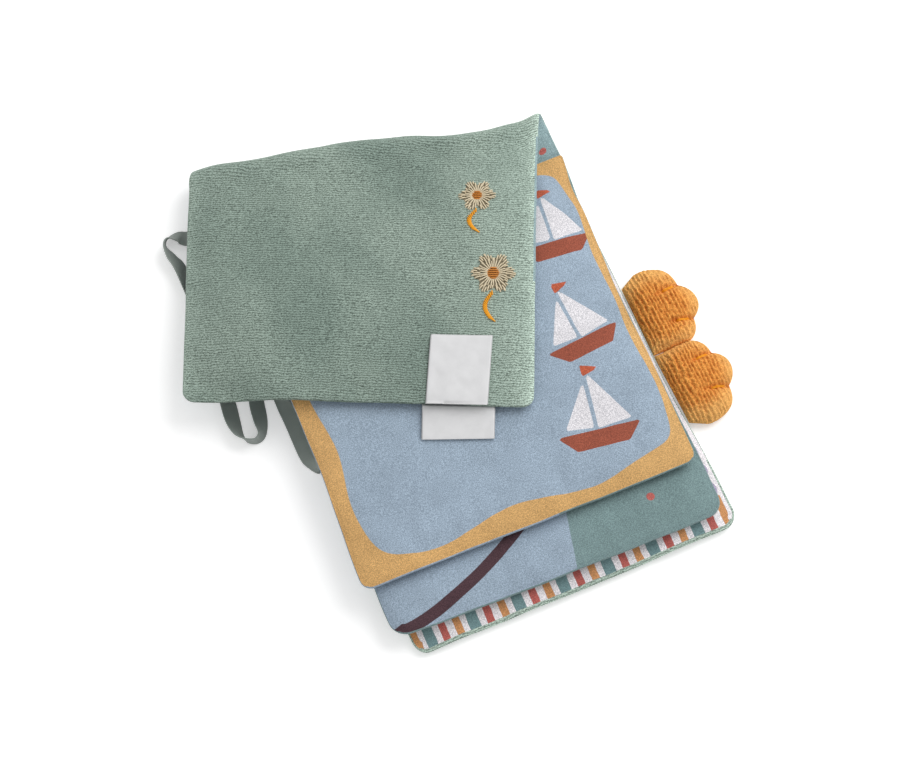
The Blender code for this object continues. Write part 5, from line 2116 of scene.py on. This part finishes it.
SAGE_VELOUR = velour()
# The front cover's velour: a lit copy of the sage velour, evenly paler by painted light
LIT_VELOUR_COPY = velour("pale_velour_pile", FRONT_PAINTED_LIGHT_SHARE)
STRIPED_LINING = knit("striped_lining_print", stripes)
DOTTED_LINING = knit("dotted_lining_print", dotted)
TEAL_KNIT = knit("teal_knit", plain(TEAL))
BLUE_TEAL_KNIT = knit("blue_teal_knit", blue_and_teal)
BOAT_PRINT = knit("boat_print", boats)
PATH_PRINT = knit("path_print", path)
TERRY = terry()
LABEL_SATIN = satin("white_label_satin", SATIN_WHITE, LABEL_RIB_PITCH, LABEL_ROUGHNESS)
RIBBON_SATIN = satin(
    "green_ribbon_satin", RIBBON_GREEN, RIBBON_RIB_PITCH, RIBBON_ROUGHNESS, RIBBON_SHEEN
)
# The dark bed under the embroidery, partly painted shade between the stitches
PAINTED_SHADE_BED = thread("shaded_bed", STITCH_GAP_PAINTED_SHADE)
CREAM_THREAD = thread("cream_embroidery", CREAM)
ORANGE_THREAD = thread("orange_embroidery", THREAD_ORANGE)
YELLOW_THREAD = thread("yellow_embroidery", THREAD_YELLOW)

THREAD_NODES = thread_nodes()

studio()
camera()

front = front_cover()
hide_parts("front_cover_lining", "front_cover_velour", "front_cover_wadding")
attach(front, "front_cover")

back = back_cover()
for region in ("spine", "fold", "back_cover"):
    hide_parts(f"{region}_velour", f"{region}_lining", f"{region}_wadding")
velour_tree = surface_of(back)
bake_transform(back)

lower = lower_leaf()
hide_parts("leaf_1_upper_panel", "leaf_1_lower_panel", "leaf_1_wadding")
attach(lower, "leaf_1")

upper = upper_leaf()
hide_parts("leaf_2_upper_panel", "leaf_2_lower_panel", "leaf_2_wadding")
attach(upper, "leaf_2")

for number, (size, across, along) in enumerate(FLOWER_SHARES, 1):
    x = COVER_WIDTH / 2 - FLOWER_FROM_SIDE - FLOWER_RADIUS * across
    y = FLOWER_FIRST + FLOWER_PITCH * along
    for node, slot, piece in flower(number, x, y, size, velour_tree):
        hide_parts(node)
        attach(piece, "back_cover")

care = care_label(velour_tree)
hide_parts("care_label")
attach(care, "care_label")

loop = loop_label()
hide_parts("loop_label")
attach(loop, "loop_label")

for number in (1, 2):
    middle = FOOT_MIDDLE + FOOT_PITCH / 2 * (1 if number == 1 else -1)
    foot, stitches = plush_foot(number, middle)
    name = f"foot_{number}"
    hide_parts(f"{name}_top_plush", f"{name}_bottom_plush", f"{name}_filling")
    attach(foot, name)
    for stitch, piece in enumerate(stitches, 1):
        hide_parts(f"{name}_toe_stitch_{stitch}")
        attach(piece, name)

strap = ribbon()
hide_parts("side_ribbon")
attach(strap, "side_ribbon")
